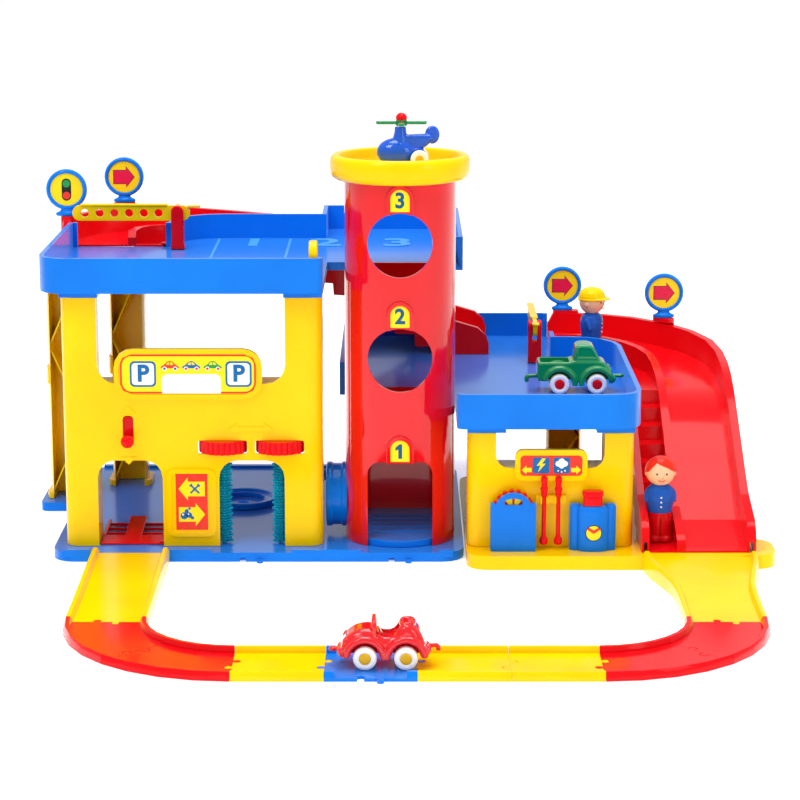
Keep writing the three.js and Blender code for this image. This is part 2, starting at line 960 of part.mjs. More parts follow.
// One pointed bristle along +X from inside the core
function bristle() {
  const geometry = new THREE.ConeGeometry(bristleRoot / 2, brushRadius - brushCore / 2, 3);
  const middle = (brushRadius + brushCore / 2) / 2;
  return solid(geometry.rotateZ(-Math.PI / 2).translate(middle, 0, 0));
}

function brush() {
  const low = gap;
  const high = brushTop - baseThickness;
  const pitch = (high - low) / bristleRows;
  const half = Math.PI / bristleFaces;
  let body = moved(rod(brushCore, low, high, bristleFaces), 0, 0, 0, half);
  const strand = bristle();
  for (let row = 0; row < bristleRows; row += 1) {
    for (let face = 0; face < bristleFaces; face += 1) {
      const angle = (face * Math.PI * 2) / bristleFaces + Math.PI / 2 + half * 2;
      const stagger = (face % 2) * pitch * 0.5;
      body = body.add(moved(strand, 0, 0, low + pitch * (row + 0.25) + stagger, angle));
    }
  }
  return body;
}

function addCarWash() {
  const brushBody = brush();
  const wheelBottom = thumbWheelZ - thumbWheelHeight / 2 - baseThickness;
  const wheel = flutedWheel(thumbWheelRadius, thumbWheelHeight, thumbFlutes, fluteDepth);
  const pinTop = wheelBottom + thumbWheelHeight + wallSkin + runningGap;
  const neck = rod(brushCore, brushTop - baseThickness + gap, pinTop, bristleFaces);
  const top = join(moved(wheel, 0, 0, wheelBottom), neck);
  thumbWheelX.forEach((x, i) => {
    const group = placedGroup(x, thumbWheelY, baseThickness);
    addPiece(`wash_brush_${i + 1}`, brushBody, 'teal', group);
    addPiece(`wash_thumb_wheel_${i + 1}`, top, 'red', group);
  });
}

// Car lift behind the left doorway: a tray on three runners, and an arm that goes up behind the wall and
// across to the lever's slot, where a ball lever comes through
function addCarLift() {
  const bottom = baseThickness + gap;
  const left = liftDoorLeft + runningGap * 2;
  const right = liftDoorRight - runningGap * 2;
  const top = bottom + liftPlateHeight;
  let lift = block([left, liftPlateFront, bottom], [right, liftPlateBack, top]);
  for (const x of [left, (left + right - runnerWidth) / 2, right - runnerWidth]) {
    const runner = polygon([
      [liftPlateFront, bottom],
      [liftPlateBack, bottom],
      [liftPlateBack, bottom + runnerHeight],
      [liftPlateFront + runnerHeight * 2, bottom + runnerHeight],
    ]);
    lift = join(lift, profile(runner, x, x + runnerWidth));
  }
  const pitch = (liftPlateBack - liftPlateFront) / (liftRibs + 1);
  for (let i = 1; i <= liftRibs; i += 1) {
    const y = liftPlateFront + pitch * i;
    lift = join(lift, block([left, y, bottom], [right, y + ribThickness, top + ribThickness]));
  }
  const arm = wallFront + wallSkin + runningGap * 2;
  const armBack = arm + leverStem * 2;
  const armLeft = liftDoorRight + runningGap * 2;
  const armRight = armLeft + leverStem * 2;
  const armTop = leverZ + leverPlateRise;
  const link = block([right - overrun, arm, bottom], [armRight, armBack, top]);
  const post = block([armLeft, arm, bottom], [armRight, armBack, armTop]);
  const plate = block([leverX - leverRadius, arm, leverZ - leverStem], [armRight, armBack, armTop]);
  lift = join(lift, link, post, plate);
  const knobY = wallFront - leverRadius * 1.6;
  const stemReach = armBack - overrun - knobY;
  const stem = turnedAlongY([[0, 0], [leverStem, 0], [leverStem, stemReach], [0, stemReach]], smallRound);
  const knob = ball(leverX, knobY, leverZ, leverRadius, leverRadius, leverRadius, tinyRound, tinyRound / 2);
  addPiece('car_lift', join(lift, moved(stem, leverX, knobY, leverZ), knob), 'red');
}

// A column: a post of C section, open at its back, in two stacked lengths with a collar and a flared foot
function column(height) {
  const half = columnSize / 2;
  const inside = half - columnSkin;
  const outer = rounded(-half, -half, half, half, columnCorner);
  const hollow = rounded(-inside, -inside, inside, half * 3, columnCorner - columnSkin);
  let post = slab(outer, 0, height, coarse);
  const foot = rounded(-half - footFlare, -half - footFlare, half + footFlare, half, columnCorner);
  post = join(post, slab(foot, 0, footHeight / 2, coarse));
  if (height > collarBottom + collarHeight * 2) {
    const grow = half + collarGrowth;
    const collar = rounded(-grow, -grow, grow, half, columnCorner);
    const low = collarBottom - baseThickness;
    post = join(post, slab(collar, low, low + collarHeight, coarse));
  }
  post = cut(post, slab(hollow, -overrun, height + overrun, coarse));
  const bays = Math.max(2, Math.round(height / (columnSize * 2)));
  const ribEdge = inside + columnSkin / 2;
  const ribSpan = (height - footHeight) / bays;
  for (let i = 0; i < bays; i += 1) {
    const low = footHeight / 2 + ribSpan * i;
    const high = low + ribSpan;
    const [start, end] = i % 2 ? [-ribEdge, ribEdge] : [ribEdge, -ribEdge];
    const rib = polygon([
      [start, low - ribThickness],
      [start, low + ribThickness],
      [end, high + ribThickness],
      [end, high - ribThickness],
    ]);
    post = join(post, panel(rib, -inside - columnSkin / 2, inside - columnSkin));
  }
  return post;
}

function addColumns() {
  const underUpper = upperFloor - capDrop - gap;
  const underMiddle = middleFloor - capDrop - gap;
  const underRamp = upperFloor + rampStepUp - landingDrop - rampSkin - gap;
  const sites = [
    ['outer_column', outerColumnX, outerColumnY, baseThickness, underUpper],
    ['ramp_column', rampColumnX, rampColumnY, baseThickness, underRamp],
    ['lane_column', laneColumnX, laneColumnY, baseThickness, underMiddle],
    ['shoulder_column', shoulderColumnX, shoulderColumnY, stationThickness, underMiddle],
  ];
  for (const [name, x, y, bottom, top] of sites) {
    addPiece(name, column(top - bottom - gap), 'yellow', placedGroup(x, y, bottom + gap, Math.PI));
  }
}

// A rimmed deck from its floor outline, with rims only where the rim outline minus openings stands
function deck(outline, inner, openings, floor, caps) {
  const underside = floor - deckPlate;
  const low = floor - rimBelow;
  const high = floor + rimAbove;
  let body = slab(outline, low, high);
  body = cut(body, slab(inner, floor, high + overrun), slab(inner, low - overrun, underside));
  for (const opening of openings) {
    body = cut(body, opening);
  }
  for (const [x, y] of caps) {
    const half = columnSize / 2 + gap;
    body = join(
      body,
      block([x - half, y - half, floor - capDrop], [x + half, y + half, underside + overrun]),
    );
  }
  return body;
}

// The upper deck: left part over the building, right wing behind the tower
function upperOutline(inset) {
  const shape = new THREE.Shape();
  const quarter = Math.PI / 2;
  const corner = upperCorner - inset;
  const left = upperLeft + inset;
  const front = upperFront + inset;
  const wingFront = towerBack + gap * 2;
  shape.absarc(left + corner, front + corner, corner, Math.PI, Math.PI + quarter);
  shape.absarc(upperInnerX - edgeRound * 2 - inset, front + edgeRound * 2, edgeRound * 2, -quarter, 0);
  shape.lineTo(upperInnerX - inset, wingFront + inset);
  shape.lineTo(upperRight - inset, wingFront + inset);
  shape.absarc(upperRight - inset - corner, upperWingBack - inset - corner, corner, 0, quarter);
  shape.lineTo(upperWingStep + inset, upperWingBack - inset);
  const centreX = upperRampX + rampOuterRadius;
  const centreY = upperRampY + rampEntry;
  const bend = rampOuterRadius - rampWidth - gap * 2 - inset;
  shape.lineTo(upperWingStep + inset, centreY + bend);
  shape.absarc(centreX, centreY, bend, quarter, Math.PI);
  shape.lineTo(centreX - bend, upperBack - inset);
  shape.lineTo(left, upperBack - inset);
  return shape;
}

function addUpperDeck() {
  const wingFront = towerBack + gap * 2;
  const high = upperFloor + rimAbove + overrun;
  const inner = upperOutline(rimWidth);
  const entry = block(
    [upperLeft + rimWidth * 2, upperBack - rimWidth * 2, upperFloor],
    [upperRampX + rampWidth - edgeRound / 2, upperBack + overrun, high],
  );
  const towerSide = block(
    [upperInnerX - rimWidth * 2, upperFront + rimWidth * 2, upperFloor],
    [upperInnerX + overrun, wingFront + rimWidth * 2, high],
  );
  const wingEdge = block(
    [upperInnerX - rimWidth * 2, wingFront - overrun, upperFloor],
    [upperRight - rimWidth - edgeRound, wingFront + rimWidth + overrun, high],
  );
  const halfCap = columnSize / 2;
  const caps = [
    [outerColumnX, outerColumnY],
    [wallLeft + halfCap, wallFront + halfCap],
    [wallRight - halfCap, wallFront + halfCap],
  ];
  addPiece(
    'upper_deck',
    deck(upperOutline(0), inner, [entry, towerSide, wingEdge], upperFloor, caps),
    'blue',
  );
}

// The middle deck: a bay over the filling station and a lane behind the tower
function middleOutline(inset) {
  const shape = new THREE.Shape();
  const quarter = Math.PI / 2;
  const bayLeftX = towerX + towerRadius + gap * 2;
  const corner = upperCorner - inset;
  const laneFront = towerBack + gap * 2;
  shape.absarc(
    bayLeftX + edgeRound * 2 + inset,
    middleFront + edgeRound * 2 + inset,
    edgeRound * 2,
    Math.PI,
    Math.PI + quarter,
  );
  shape.absarc(middleRight - inset - corner, middleFront + inset + corner, corner, -quarter, 0);
  const shoulder = middleCorner - inset;
  shape.absarc(middleRight - inset - shoulder, middleShoulder - inset - shoulder, shoulder, 0, quarter);
  shape.lineTo(lowerRampX - gap - inset, middleShoulder - inset);
  shape.lineTo(lowerRampX - gap - inset, middleBack - inset);
  shape.absarc(middleLeft + inset + corner, middleBack - inset - corner, corner, quarter, Math.PI);
  shape.lineTo(middleLeft + inset, laneFront + inset);
  shape.lineTo(bayLeftX + inset, laneFront + inset);
  return shape;
}

function addMiddleDeck() {
  const laneFront = towerBack + gap * 2;
  const bayLeftX = towerX + towerRadius + gap * 2;
  const high = middleFloor + rimAbove + overrun;
  const rampEdge = block(
    [lowerRampX - rimWidth * 2, lowerRampY - rampWidth, middleFloor],
    [lowerRampX + overrun, middleBack - rimWidth - edgeRound, high],
  );
  const towerEdge = block(
    [middleLeft + rimWidth + edgeRound, laneFront - overrun, middleFloor],
    [bayLeftX + rimWidth * 2, laneFront + rimWidth + overrun, high],
  );
  const baySide = block(
    [bayLeftX - overrun, middleFront + rimWidth * 2, middleFloor],
    [bayLeftX + rimWidth + overrun, laneFront + rimWidth * 2, high],
  );
  const halfCap = columnSize / 2;
  const caps = [
    [pumpWallLeft + halfCap, pumpWallFront + halfCap],
    [pumpWallRight - halfCap, pumpWallFront + halfCap],
    [laneColumnX, laneColumnY],
    [shoulderColumnX, shoulderColumnY],
  ];
  const openings = [rampEdge, towerEdge, baySide];
  addPiece(
    'middle_deck',
    deck(middleOutline(0), middleOutline(rimWidth), openings, middleFloor, caps),
    'blue',
  );
}

// The lift tower: a shell of D plan with a doorway, round windows and two openings to the decks
function towerOutline(radius, back) {
  const shape = new THREE.Shape();
  shape.absarc(towerX, towerY, radius, Math.PI, Math.PI * 2);
  shape.lineTo(towerX + radius, back);
  shape.lineTo(towerX - radius, back);
  return shape;
}

function addTower() {
  const bottom = baseThickness + gap;
  const front = towerY - towerRadius;
  const shell = cut(
    slab(towerOutline(towerRadius, towerBack), bottom, towerTop, towerSteps),
    slab(
      towerOutline(towerRadius - towerSkin, towerBack - towerSkin),
      bottom - overrun,
      towerTop + overrun,
      towerSteps,
    ),
  );
  const half = towerDoorWidth / 2;
  const door = arched(towerX - half, bottom - overrun, towerX + half, towerDoorTop, towerDoorCorner);
  let tower = shell;
  for (const z of [towerDoorTop + gap, lowWindowZ + windowRadius, highWindowZ + windowRadius]) {
    const plaque = arched(
      towerX - plaqueWidth / 2,
      z,
      towerX + plaqueWidth / 2,
      z + plaqueHeight,
      plaqueWidth / 2 - gap,
    );
    tower = join(tower, panel(plaque, front - plaqueRelief, front + towerSkin, coarse));
  }
  tower = cut(tower, panel(door, front - plaqueRelief * 2, towerY));
  for (const z of [lowWindowZ, highWindowZ]) {
    tower = cut(tower, panel(disc(towerX, z, windowRadius), front - plaqueRelief * 2, towerY, fine));
  }
  for (const floor of [middleFloor, upperFloor]) {
    const doorHalf = deckDoorWidth / 2;
    const deckDoor = arched(
      towerX - doorHalf,
      floor,
      towerX + doorHalf,
      floor + deckDoorHeight,
      towerDoorCorner,
    );
    tower = cut(tower, panel(deckDoor, towerBack - towerSkin - overrun, towerBack + overrun));
  }
  const bore = turnedAlongX(
    [[0, 0], [crankPin + gap, 0], [crankPin + gap, towerSkin * 3], [0, towerSkin * 3]],
    smallRound,
  );
  tower = cut(tower, moved(bore, towerX - towerRadius - towerSkin, crankY, crankZ));
  addPiece('lift_tower', tower, 'red');
}

// The landing pad: a dished round tray that stands on the tower and grips its top
function addLandingPad() {
  const sink = 6;
  const lip = padRadius - padRimWidth;
  const pad = turned([
    [0, gap],
    [towerRadius + runningGap * 2, gap],
    [towerRadius + runningGap * 2, -sink],
    [towerRadius + skin + runningGap * 2, -sink],
    [padRadius - edgeRound, -sink / 3],
    [padRadius, edgeRound],
    [padRadius, padHeight - edgeRound],
    [padRadius - edgeRound, padHeight],
    [lip + edgeRound, padHeight],
    [lip, padHeight - edgeRound],
    [lip - edgeRound, padFloor],
    [0, padFloor],
  ], largeRound);
  const boxBack = towerBack - towerY + runningGap * 2;
  const clearance = towerRadius + runningGap * 2;
  const tail = block([-clearance, 0, -sink - overrun], [clearance, boxBack, gap]);
  addPiece('landing_pad', cut(pad, tail), 'yellow', placedGroup(towerX, towerY, towerTop));
}

// The lift platform: a ribbed tray that fits the tower's plan

function addPlatform() {
  const bottom = baseThickness + gap;
  const radius = towerRadius - towerSkin - runningGap;
  const back = towerBack - towerSkin - runningGap;
  const rim = towerOutline(radius, back);
  const hollow = towerOutline(radius - skin, back - skin);
  let platform = cut(
    slab(rim, bottom, bottom + platformHeight, towerSteps),
    slab(hollow, bottom - overrun, bottom + platformHeight - platformPlate, towerSteps),
  );
  const pitch = (back - towerY) / platformRibs;
  for (let i = 0; i < platformRibs; i += 1) {
    const y = towerY - pitch + pitch * i;
    const low = bottom + platformHeight - overrun;
    const high = bottom + platformHeight + ribThickness / 2;
    const half = radius * 0.7;
    platform = join(platform, block([towerX - half, y, low], [towerX + half, y + ribThickness, high]));
  }
  addPiece('lift_platform', platform, 'blue');
}

// The winding wheel on the tower's left flank, which raises the platform

function addCrank() {
  const wheelRight = towerX - towerRadius - gap;
  const left = wheelRight - crankWidth;
  const wheel = flutedWheel(crankRadius, crankWidth, crankFlutes, fluteDepth);
  const bore = rod(crankRadius - skin * 2, -overrun, crankWidth / 2, mediumRound);
  const hub = rod(crankHub, 0, crankWidth, tinyRound);
  const pin = rod(crankPin, crankWidth - overrun, crankWidth + gap + towerSkin - gap, smallRound);
  const handle = moved(rod(crankHub / 2, 0, crankWidth, tinyRound), 0, crankRadius * 0.6, 0);
  const drum = join(cut(wheel, bore), hub, handle, pin);
  const body = solid(geometryOf(drum).rotateY(Math.PI / 2));
  addPiece('lift_crank', body, 'blue', placedGroup(left, crankY, crankZ));
}

// Where the ramps start: the upper one heads back, the lower one heads right

// Height of the lane above the ramp's foot at a place along the long straight
function laneHeight(run, drop) {
  const share = run / rampRun;
  let i = 1;
  while (i < laneRunShares.length - 1 && laneRunShares[i] < share) {
    i += 1;
  }
  const [s0, s1] = [laneRunShares[i - 1], laneRunShares[i]];
  const part = THREE.MathUtils.clamp((share - s0) / (s1 - s0), 0, 1);
  return drop * THREE.MathUtils.lerp(laneHeightShares[i - 1], laneHeightShares[i], part);
}

// The stations of a ramp: place, sideways direction, lane height and stair height
function rampStations() {
  const drop = upperFloor - middleFloor;
  const stations = [];
  const turnDrop = drop * (1 - laneHeightShares[0]);
  const add = (x, y, sideX, sideY, lane, walk, end) => stations.push(
    { x, y, z: lane, sideX, sideY, walk: walk - lane, end },
  );
  const landing = drop - landingDrop;
  add(0, 0, 1, 0, drop, drop, 0.55);
  add(0, rampEntry / 2, 1, 0, drop, drop, 1);
  add(0, rampEntry / 2 + riserRun, 1, 0, drop, landing, 1);
  const turns = 6;
  for (let i = 0; i <= turns; i += 1) {
    const share = i / turns;
    const angle = share * (Math.PI / 2);
    const x = rampOuterRadius * (1 - Math.cos(angle));
    const y = rampEntry + rampOuterRadius * Math.sin(angle);
    add(x, y, Math.cos(angle), -Math.sin(angle), drop - turnDrop * share * share, landing, 1);
  }
  const backY = rampEntry + rampOuterRadius;
  const rise = landing / stairSteps;
  const runs = [[rampRun * laneRunShares[1], landing, 1]];
  for (let i = 0; i < stairSteps; i += 1) {
    const start = stairStart + stairRun * i;
    runs.push([start, landing - rise * i, 1], [start + riserRun, landing - rise * (i + 1), 1]);
  }
  runs.push([rampRun - rampEntry, 0, 1], [rampRun - rampEntry / 4, 0, 0.72], [rampRun, 0, 0.4]);
  for (const [run, walk, end] of runs) {
    add(rampOuterRadius + run, backY, 0, -1, laneHeight(run, drop), walk, end);
  }
  return stations;
}

// The ramp's section: hollow outer wall, lane, rail, stair lane and inner wall, open underneath
function rampSection(station) {
  const { walk, end, z } = station;
  const innerLeft = rampWidth - rampInnerWidth;
  const railRight = innerLeft - stairWidth;
  const railLeft = railRight - rampRailWidth;
  const laneLeft = rampWallWidth;
  const tall = rampWallHeight * end;
  const landingCap = upperFloor - middleFloor - innerWallCap - z;
  const innerTop = Math.max(Math.min(tall, landingCap), walk + rampSkin);
  const rail = rampRailHeight * end;
  const ground = -z - rampFoot;
  const under = Math.max(-rampSkin, ground);
  const skirt = Math.max(-rampSkirt, ground);
  const walkUnder = Math.max(walk - rampSkin, ground);
  const walkSkirt = Math.max(Math.min(walk, 0) - rampSkirt, ground);
  const seam = Math.abs(walkUnder - under) < gap ? under + gap : under;
  const roof = innerTop - rampSkin;
  return [
    [0, skirt],
    [0, tall],
    [laneLeft, tall],
    [laneLeft, 0],
    [railLeft, 0],
    [railLeft, rail],
    [railRight, rail],
    [railRight, walk],
    [innerLeft, walk],
    [innerLeft, innerTop],
    [rampWidth, innerTop],
    [rampWidth, walkSkirt],
    [rampWidth - rampSkin, walkSkirt],
    [rampWidth - rampSkin, roof],
    [innerLeft + rampSkin, roof],
    [innerLeft + rampSkin, walkUnder],
    [railRight - rampSkin, walkUnder],
    [railRight - rampSkin, seam],
    [laneLeft - rampSkin, under],
    [laneLeft - rampSkin, tall - rampSkin],
    [rampSkin, tall - rampSkin],
    [rampSkin, skirt],
  ];
}

// Where the signs stand on a ramp's outer wall: beside the entry and halfway round the turn
function signSpots() {
  const middle = rampOuterRadius - rampWallWidth / 2;
  const turn = Math.PI / 4;
  return [
    [(rampWallWidth - signBlockRise) / 2, signalSignRun, 0],
    [rampOuterRadius - middle * Math.cos(turn), rampEntry + middle * Math.sin(turn), -turn],
  ];
}

function addRamps() {
  const channel = sweep(rampStations(), rampSection);
  const drop = upperFloor - middleFloor;
  const top = drop + rampWallHeight + signBlockRise;
  const low = drop - rampSkirt / 2;
  const wallTop = drop + rampWallHeight - rampSkin;
  const half = signBlockWidth / 2;
  const blocks = signSpots().map(([x, y, turn], i) => {
    const reach = signBlockLength / (i === 0 ? 2 : 3);
    const front = i === 0 ? rampEntry / 2 - y : -reach;
    const shape = rounded(-half, front, half, reach, edgeRound);
    const hollow = block(
      [-half + rampSkin, front - overrun, low - overrun],
      [half * 3, reach + overrun, wallTop],
    );
    return moved(cut(slab(shape, low, top, coarse), hollow), x, y, 0, turn);
  });
  const ramp = join(channel, ...blocks);
  const places = [
    ['upper_ramp', upperRampX, upperRampY, middleFloor + rampStepUp, 0],
    ['lower_ramp', lowerRampX, lowerRampY, middleFloor + rampStepUp - drop, -Math.PI / 2],
  ];
  for (const [name, x, y, z, turn] of places) {
    addPiece(name, ramp, 'red', placedGroup(x, y, z, turn));
  }
}

// Filling station: base plate and the wall with its bay and its board
function addStation() {
  const outline = rounded(stationLeft, stationFront, stationRight, stationBack, stationCorner);
  const lobeFront = stationFront + edgeRound;
  const lobeLeft = stationRight - stationCorner;
  const lobe = rounded(lobeLeft, lobeFront, stationRight + lobeReach, lobeFront + lobeDepth, stationCorner);
  const inside = rounded(
    stationLeft + skin,
    stationFront + skin,
    stationRight - skin,
    stationBack - skin,
    stationCorner - skin,
  );
  const whole = join(slab(outline, 0, stationThickness), slab(lobe, 0, stationThickness));
  addPiece('station_base', cut(whole, slab(inside, -overrun, stationThickness - skin)), 'yellow');

  const bottom = stationThickness + gap;
  const back = pumpWallFront + wallDepth;
  const behind = back + wallCorner * 3;
  const outer = rounded(pumpWallLeft, pumpWallFront, pumpWallRight, back + wallCorner * 2, wallCorner);
  const inner = rounded(
    pumpWallLeft + wallSkin,
    pumpWallFront + wallSkin,
    pumpWallRight - wallSkin,
    behind,
    wallCorner - wallSkin,
  );
  let wall = cut(slab(outer, bottom, pumpWallTop), slab(inner, bottom - overrun, pumpWallTop + overrun));
  const open = [pumpWallRight + overrun, behind, pumpWallTop + overrun];
  wall = cut(wall, block([pumpWallLeft - overrun, back, bottom - overrun], open));
  const jambs = [pumpBayLeft - wallSkin, pumpBayRight].map((x) => (
    block([x, pumpWallFront + wallSkin / 2, bottom], [x + wallSkin, back, pumpWallTop - overrun])
  ));
  const sillLow = [pumpBayLeft - wallSkin / 2, pumpWallFront + wallSkin / 2, pumpBayBottom - wallSkin];
  const sill = block(sillLow, [pumpBayRight + wallSkin / 2, back - overrun, pumpBayBottom]);
  wall = join(wall, ...jambs, sill);
  const bay = rounded(pumpBayLeft, pumpBayBottom, pumpBayRight, pumpWallTop + wallCorner * 2, wallCorner);
  wall = cut(wall, panel(bay, pumpWallFront - overrun, pumpWallFront + wallSkin * 2));
  const board = rounded(pumpBoardLeft, pumpBoardBottom, pumpBoardRight, pumpBoardTop, edgeRound * 2);
  wall = join(wall, panel(board, pumpWallFront - boardRelief, pumpWallFront + wallSkin));
  addPiece('station_wall', wall, 'yellow');
}

// The pump case: a front plate with an arched hump and a window, a foot and two side walls that reach
// back to the wall, and between them the fluted dial, which turns on a pin in the plate
function addPumpCase() {
  const bottom = stationThickness + gap;
  const back = pumpWallFront - gap;
  const front = back - pumpDepth;
  const plateBack = front + casePlate;
  const middle = (pumpCaseLeft + pumpCaseRight) / 2;
  const plate = rounded(pumpCaseLeft, bottom, pumpCaseRight, pumpCaseShoulder, edgeRound / 2);
  const footTop = dialZ - dialRadius - runningGap * 2;
  const foot = block([pumpCaseLeft, plateBack - overrun, bottom], [pumpCaseRight, back, footTop]);
  const wallTop = pumpCaseShoulder - edgeRound;
  const sides = [pumpCaseLeft, pumpCaseRight - caseSide].map((x) => (
    block([x, plateBack - overrun, footTop - overrun], [x + caseSide, back, wallTop])
  ));
  const hump = panel(disc(middle, dialZ, humpRadius), front, plateBack);
  const half = dialWindowWidth / 2;
  const round = (dialWindowTop - dialWindowBottom) / 3;
  const window = arched(middle - half, dialWindowBottom, middle + half, dialWindowTop, round);
  const bore = rod(dialPin + gap, 0, dialPinLength + gap, tinyRound);
  const socket = solid(geometryOf(bore).rotateX(Math.PI / 2).translate(middle, plateBack, dialZ));
  const shell = join(panel(plate, front, plateBack, coarse), foot, ...sides, hump);
  addPiece(
    'pump_case',
    cut(shell, panel(window, front - overrun, plateBack + overrun, coarse), socket),
    'blue',
  );
  const wheel = flutedWheel(dialRadius, dialThickness, dialTeeth, fluteDepth);
  const pin = rod(dialPin, dialThickness - overrun, dialThickness + dialPinLength, tinyRound);
  const hub = rod(dialPin * 2, runningGap - casePlate / 2, overrun, tinyRound);
  const dial = solid(geometryOf(join(wheel, pin, hub)).rotateX(Math.PI / 2));
  addPiece('pump_dial', dial, 'red', placedGroup(middle, plateBack + runningGap + dialThickness, dialZ));
}

// The bottle-shaped pump: a deep middle between two lower lobes, under a square cap
function addBottlePump() {
  const bottom = stationThickness + gap;
  const back = pumpWallFront - gap;
  const middle = bottleCentre / 2;
  const reach = bottleWidth / 2;
  const centre = slab(rounded(-middle, -bottleDepth, middle, 0, bottleDepth / 3), 0, bottleHeight, coarse);
  const shoulder = bottleHeight + bottleLobeRise;
  const lobes = [-reach, reach - bottleLobe].map((x) => (
    slab(rounded(x, -bottleLobeDepth, x + bottleLobe, 0, bottleLobe / 3), 0, shoulder, coarse)
  ));
  addPiece('bottle_pump', join(centre, ...lobes), 'blue', placedGroup(bottleX, back, bottom));
  const half = bottleCapWidth / 2;
  const setBack = (bottleDepth - bottleCapDepth) / 2;
  const cap = slab(
    rounded(-half, -bottleCapDepth - setBack, half, -setBack, edgeRound),
    0,
    bottleCapHeight,
    coarse,
  );
  addPiece('bottle_cap', cap, 'red', placedGroup(bottleX, back, bottom + bottleHeight + gap));
}

// Two nozzles with a bulb at the foot, hanging by their sleeves on the rings of one clip
function addNozzles() {
  const back = pumpWallFront - gap;
  const plateFront = back - boardRelief - runningGap;
  const clipY = plateFront - nozzleRadius - clipWall;
  const left = nozzleX[0] - clipMargin;
  const bar = rounded(left, clipBottom, nozzleX[1] + clipMargin, clipTop, edgeRound / 2);
  let clip = panel(bar, plateFront, back, coarse);
  for (const x of nozzleX) {
    const ring = slab(disc(x, clipY, nozzleRadius + clipWall + gap), clipBottom, clipTop, coarse);
    const foot = block(
      [x - nozzleRadius, clipY, clipBottom],
      [x + nozzleRadius, plateFront + overrun, clipTop],
    );
    clip = join(clip, ring, foot);
  }
  for (const x of nozzleX) {
    clip = cut(
      clip,
      slab(disc(x, clipY, nozzleRadius + runningGap), clipBottom - overrun, clipTop + overrun, coarse),
    );
  }
  addPiece('nozzle_clip', clip, 'yellow');
  const sleeve = clipTop + gap - nozzleBottom;
  const flange = sleeve + nozzleFlangeRise;
  const nozzle = turned([
    [0, 0],
    [nozzleBulb, nozzleBulb],
    [nozzleRadius, nozzleBulb * 2],
    [nozzleRadius, sleeve],
    [nozzleSleeve, sleeve],
    [nozzleSleeve, flange],
    [nozzleFlange, flange],
    [nozzleFlange, flange + clipWall],
    [nozzleSleeve, flange + clipWall],
    [nozzleSleeve, nozzleTop - nozzleBottom],
    [0, nozzleTop - nozzleBottom],
  ], tinyRound);
  nozzleX.forEach((x, i) => {
    addPiece(`nozzle_${i + 1}`, nozzle, 'red', placedGroup(x, clipY, nozzleBottom));
  });
}

// Barriers: a forked post on the deck and a boom with holes that swings up between its ears
function boomBody(length, holeStart) {
  const half = boomHeight / 2;
  const shape = rounded(-length, -half, boomTail, half, half - gap);
  let body = panel(shape, -boomThickness / 2, boomThickness / 2, coarse);
  for (let i = 0; i < boomHoles; i += 1) {
    body = cut(
      body,
      panel(
        disc(-length + holeStart + boomHolePitch * i, 0, boomHoleRadius),
        -boomThickness,
        boomThickness,
        coarse,
      ),
    );
  }
  const pin = turnedAlongY([
    [0, -postWidth / 2],
    [pivotRadius, -postWidth / 2],
    [pivotRadius, postWidth / 2],
    [0, postWidth / 2],
  ], smallRound);
  return join(body, pin);
}

function postBody() {
  const half = postWidth / 2;
  const slot = boomThickness / 2 + runningGap;
  const shape = rounded(-half, -half, half, half, edgeRound);
  const post = slab(shape, 0, postHeight, coarse);
  const mouth = block(
    [-postWidth, -slot, pivotHeight - boomTail - runningGap * 2],
    [postWidth, slot, postHeight + overrun],
  );
  const bore = turnedAlongY([
    [0, -postWidth],
    [pivotRadius + gap, -postWidth],
    [pivotRadius + gap, postWidth],
    [0, postWidth],
  ], smallRound);
  return cut(post, mouth, moved(bore, 0, 0, pivotHeight));
}

function addBarriers() {
  const boom = boomBody(boomLength - boomTail, boomHoleStart);
  const sites = [
    ['upper_barrier', upperPostX, upperPostY, upperFloor + gap, 0],
    ['lower_barrier', lowerPostX, lowerPostY, middleFloor + gap, -Math.PI / 2],
  ];
  for (const [name, x, y, z, turn] of sites) {
    addPiece(`${name}_post`, postBody(), 'red', placedGroup(x, y, z, turn));
    addPiece(`${name}_boom`, boom, 'yellow', placedGroup(x, y, z + pivotHeight, turn));
  }
}

// The round tab at the upper deck's inner front corner

function addCornerTab() {
  const y = upperFront + rimWidth + edgeRound + gap + tabRadius;
  const z = upperFloor + rimAbove;
  const face = profile(disc(y, z, tabRadius), tabX, tabX + tabThickness);
  const stem = block(
    [tabX, y - tabRadius / 2, upperFloor + gap],
    [tabX + tabThickness, y + tabRadius / 2, z],
  );
  addPiece('corner_tab', join(face, stem), 'yellow');
}

// Road signs: an oval foot, a short stem and a round face, standing on the ramps' blocks
function addSigns() {
  const foot = solid(geometryOf(rod(signFootWidth / 2, 0, signFootHeight, smallRound)).scale(1, 0.5, 1));
  const faceZ = signFootHeight + signStem / 2 + signRadius;
  const face = panel(disc(0, faceZ, signRadius), -signThickness / 2, signThickness / 2);
  const neck = block(
    [-signStem, -signStem / 2, signFootHeight - overrun],
    [signStem, signStem / 2, faceZ - signRadius / 2],
  );
  const sign = join(foot, face, neck);
  const drop = upperFloor - middleFloor;
  const spots = signSpots();
  const places = [
    ['signal_sign', 0, upperRampX, upperRampY, middleFloor, 0],
    ['upper_arrow_sign', 1, upperRampX, upperRampY, middleFloor, 0],
    ['entry_arrow_sign', 0, lowerRampX, lowerRampY, middleFloor - drop, -Math.PI / 2],
    ['lower_arrow_sign', 1, lowerRampX, lowerRampY, middleFloor - drop, -Math.PI / 2],
  ];
  for (const [name, spot, rampX, rampY, floor, turn] of places) {
    const place = new THREE.Vector3(...spots[spot]).setZ(0);
    place.applyAxisAngle(new THREE.Vector3(0, 0, 1), turn);
    const z = floor + rampStepUp + drop + rampWallHeight + signBlockRise + gap;
    addPiece(name, sign, 'blue', placedGroup(rampX + place.x, rampY + place.y, z));
  }
}

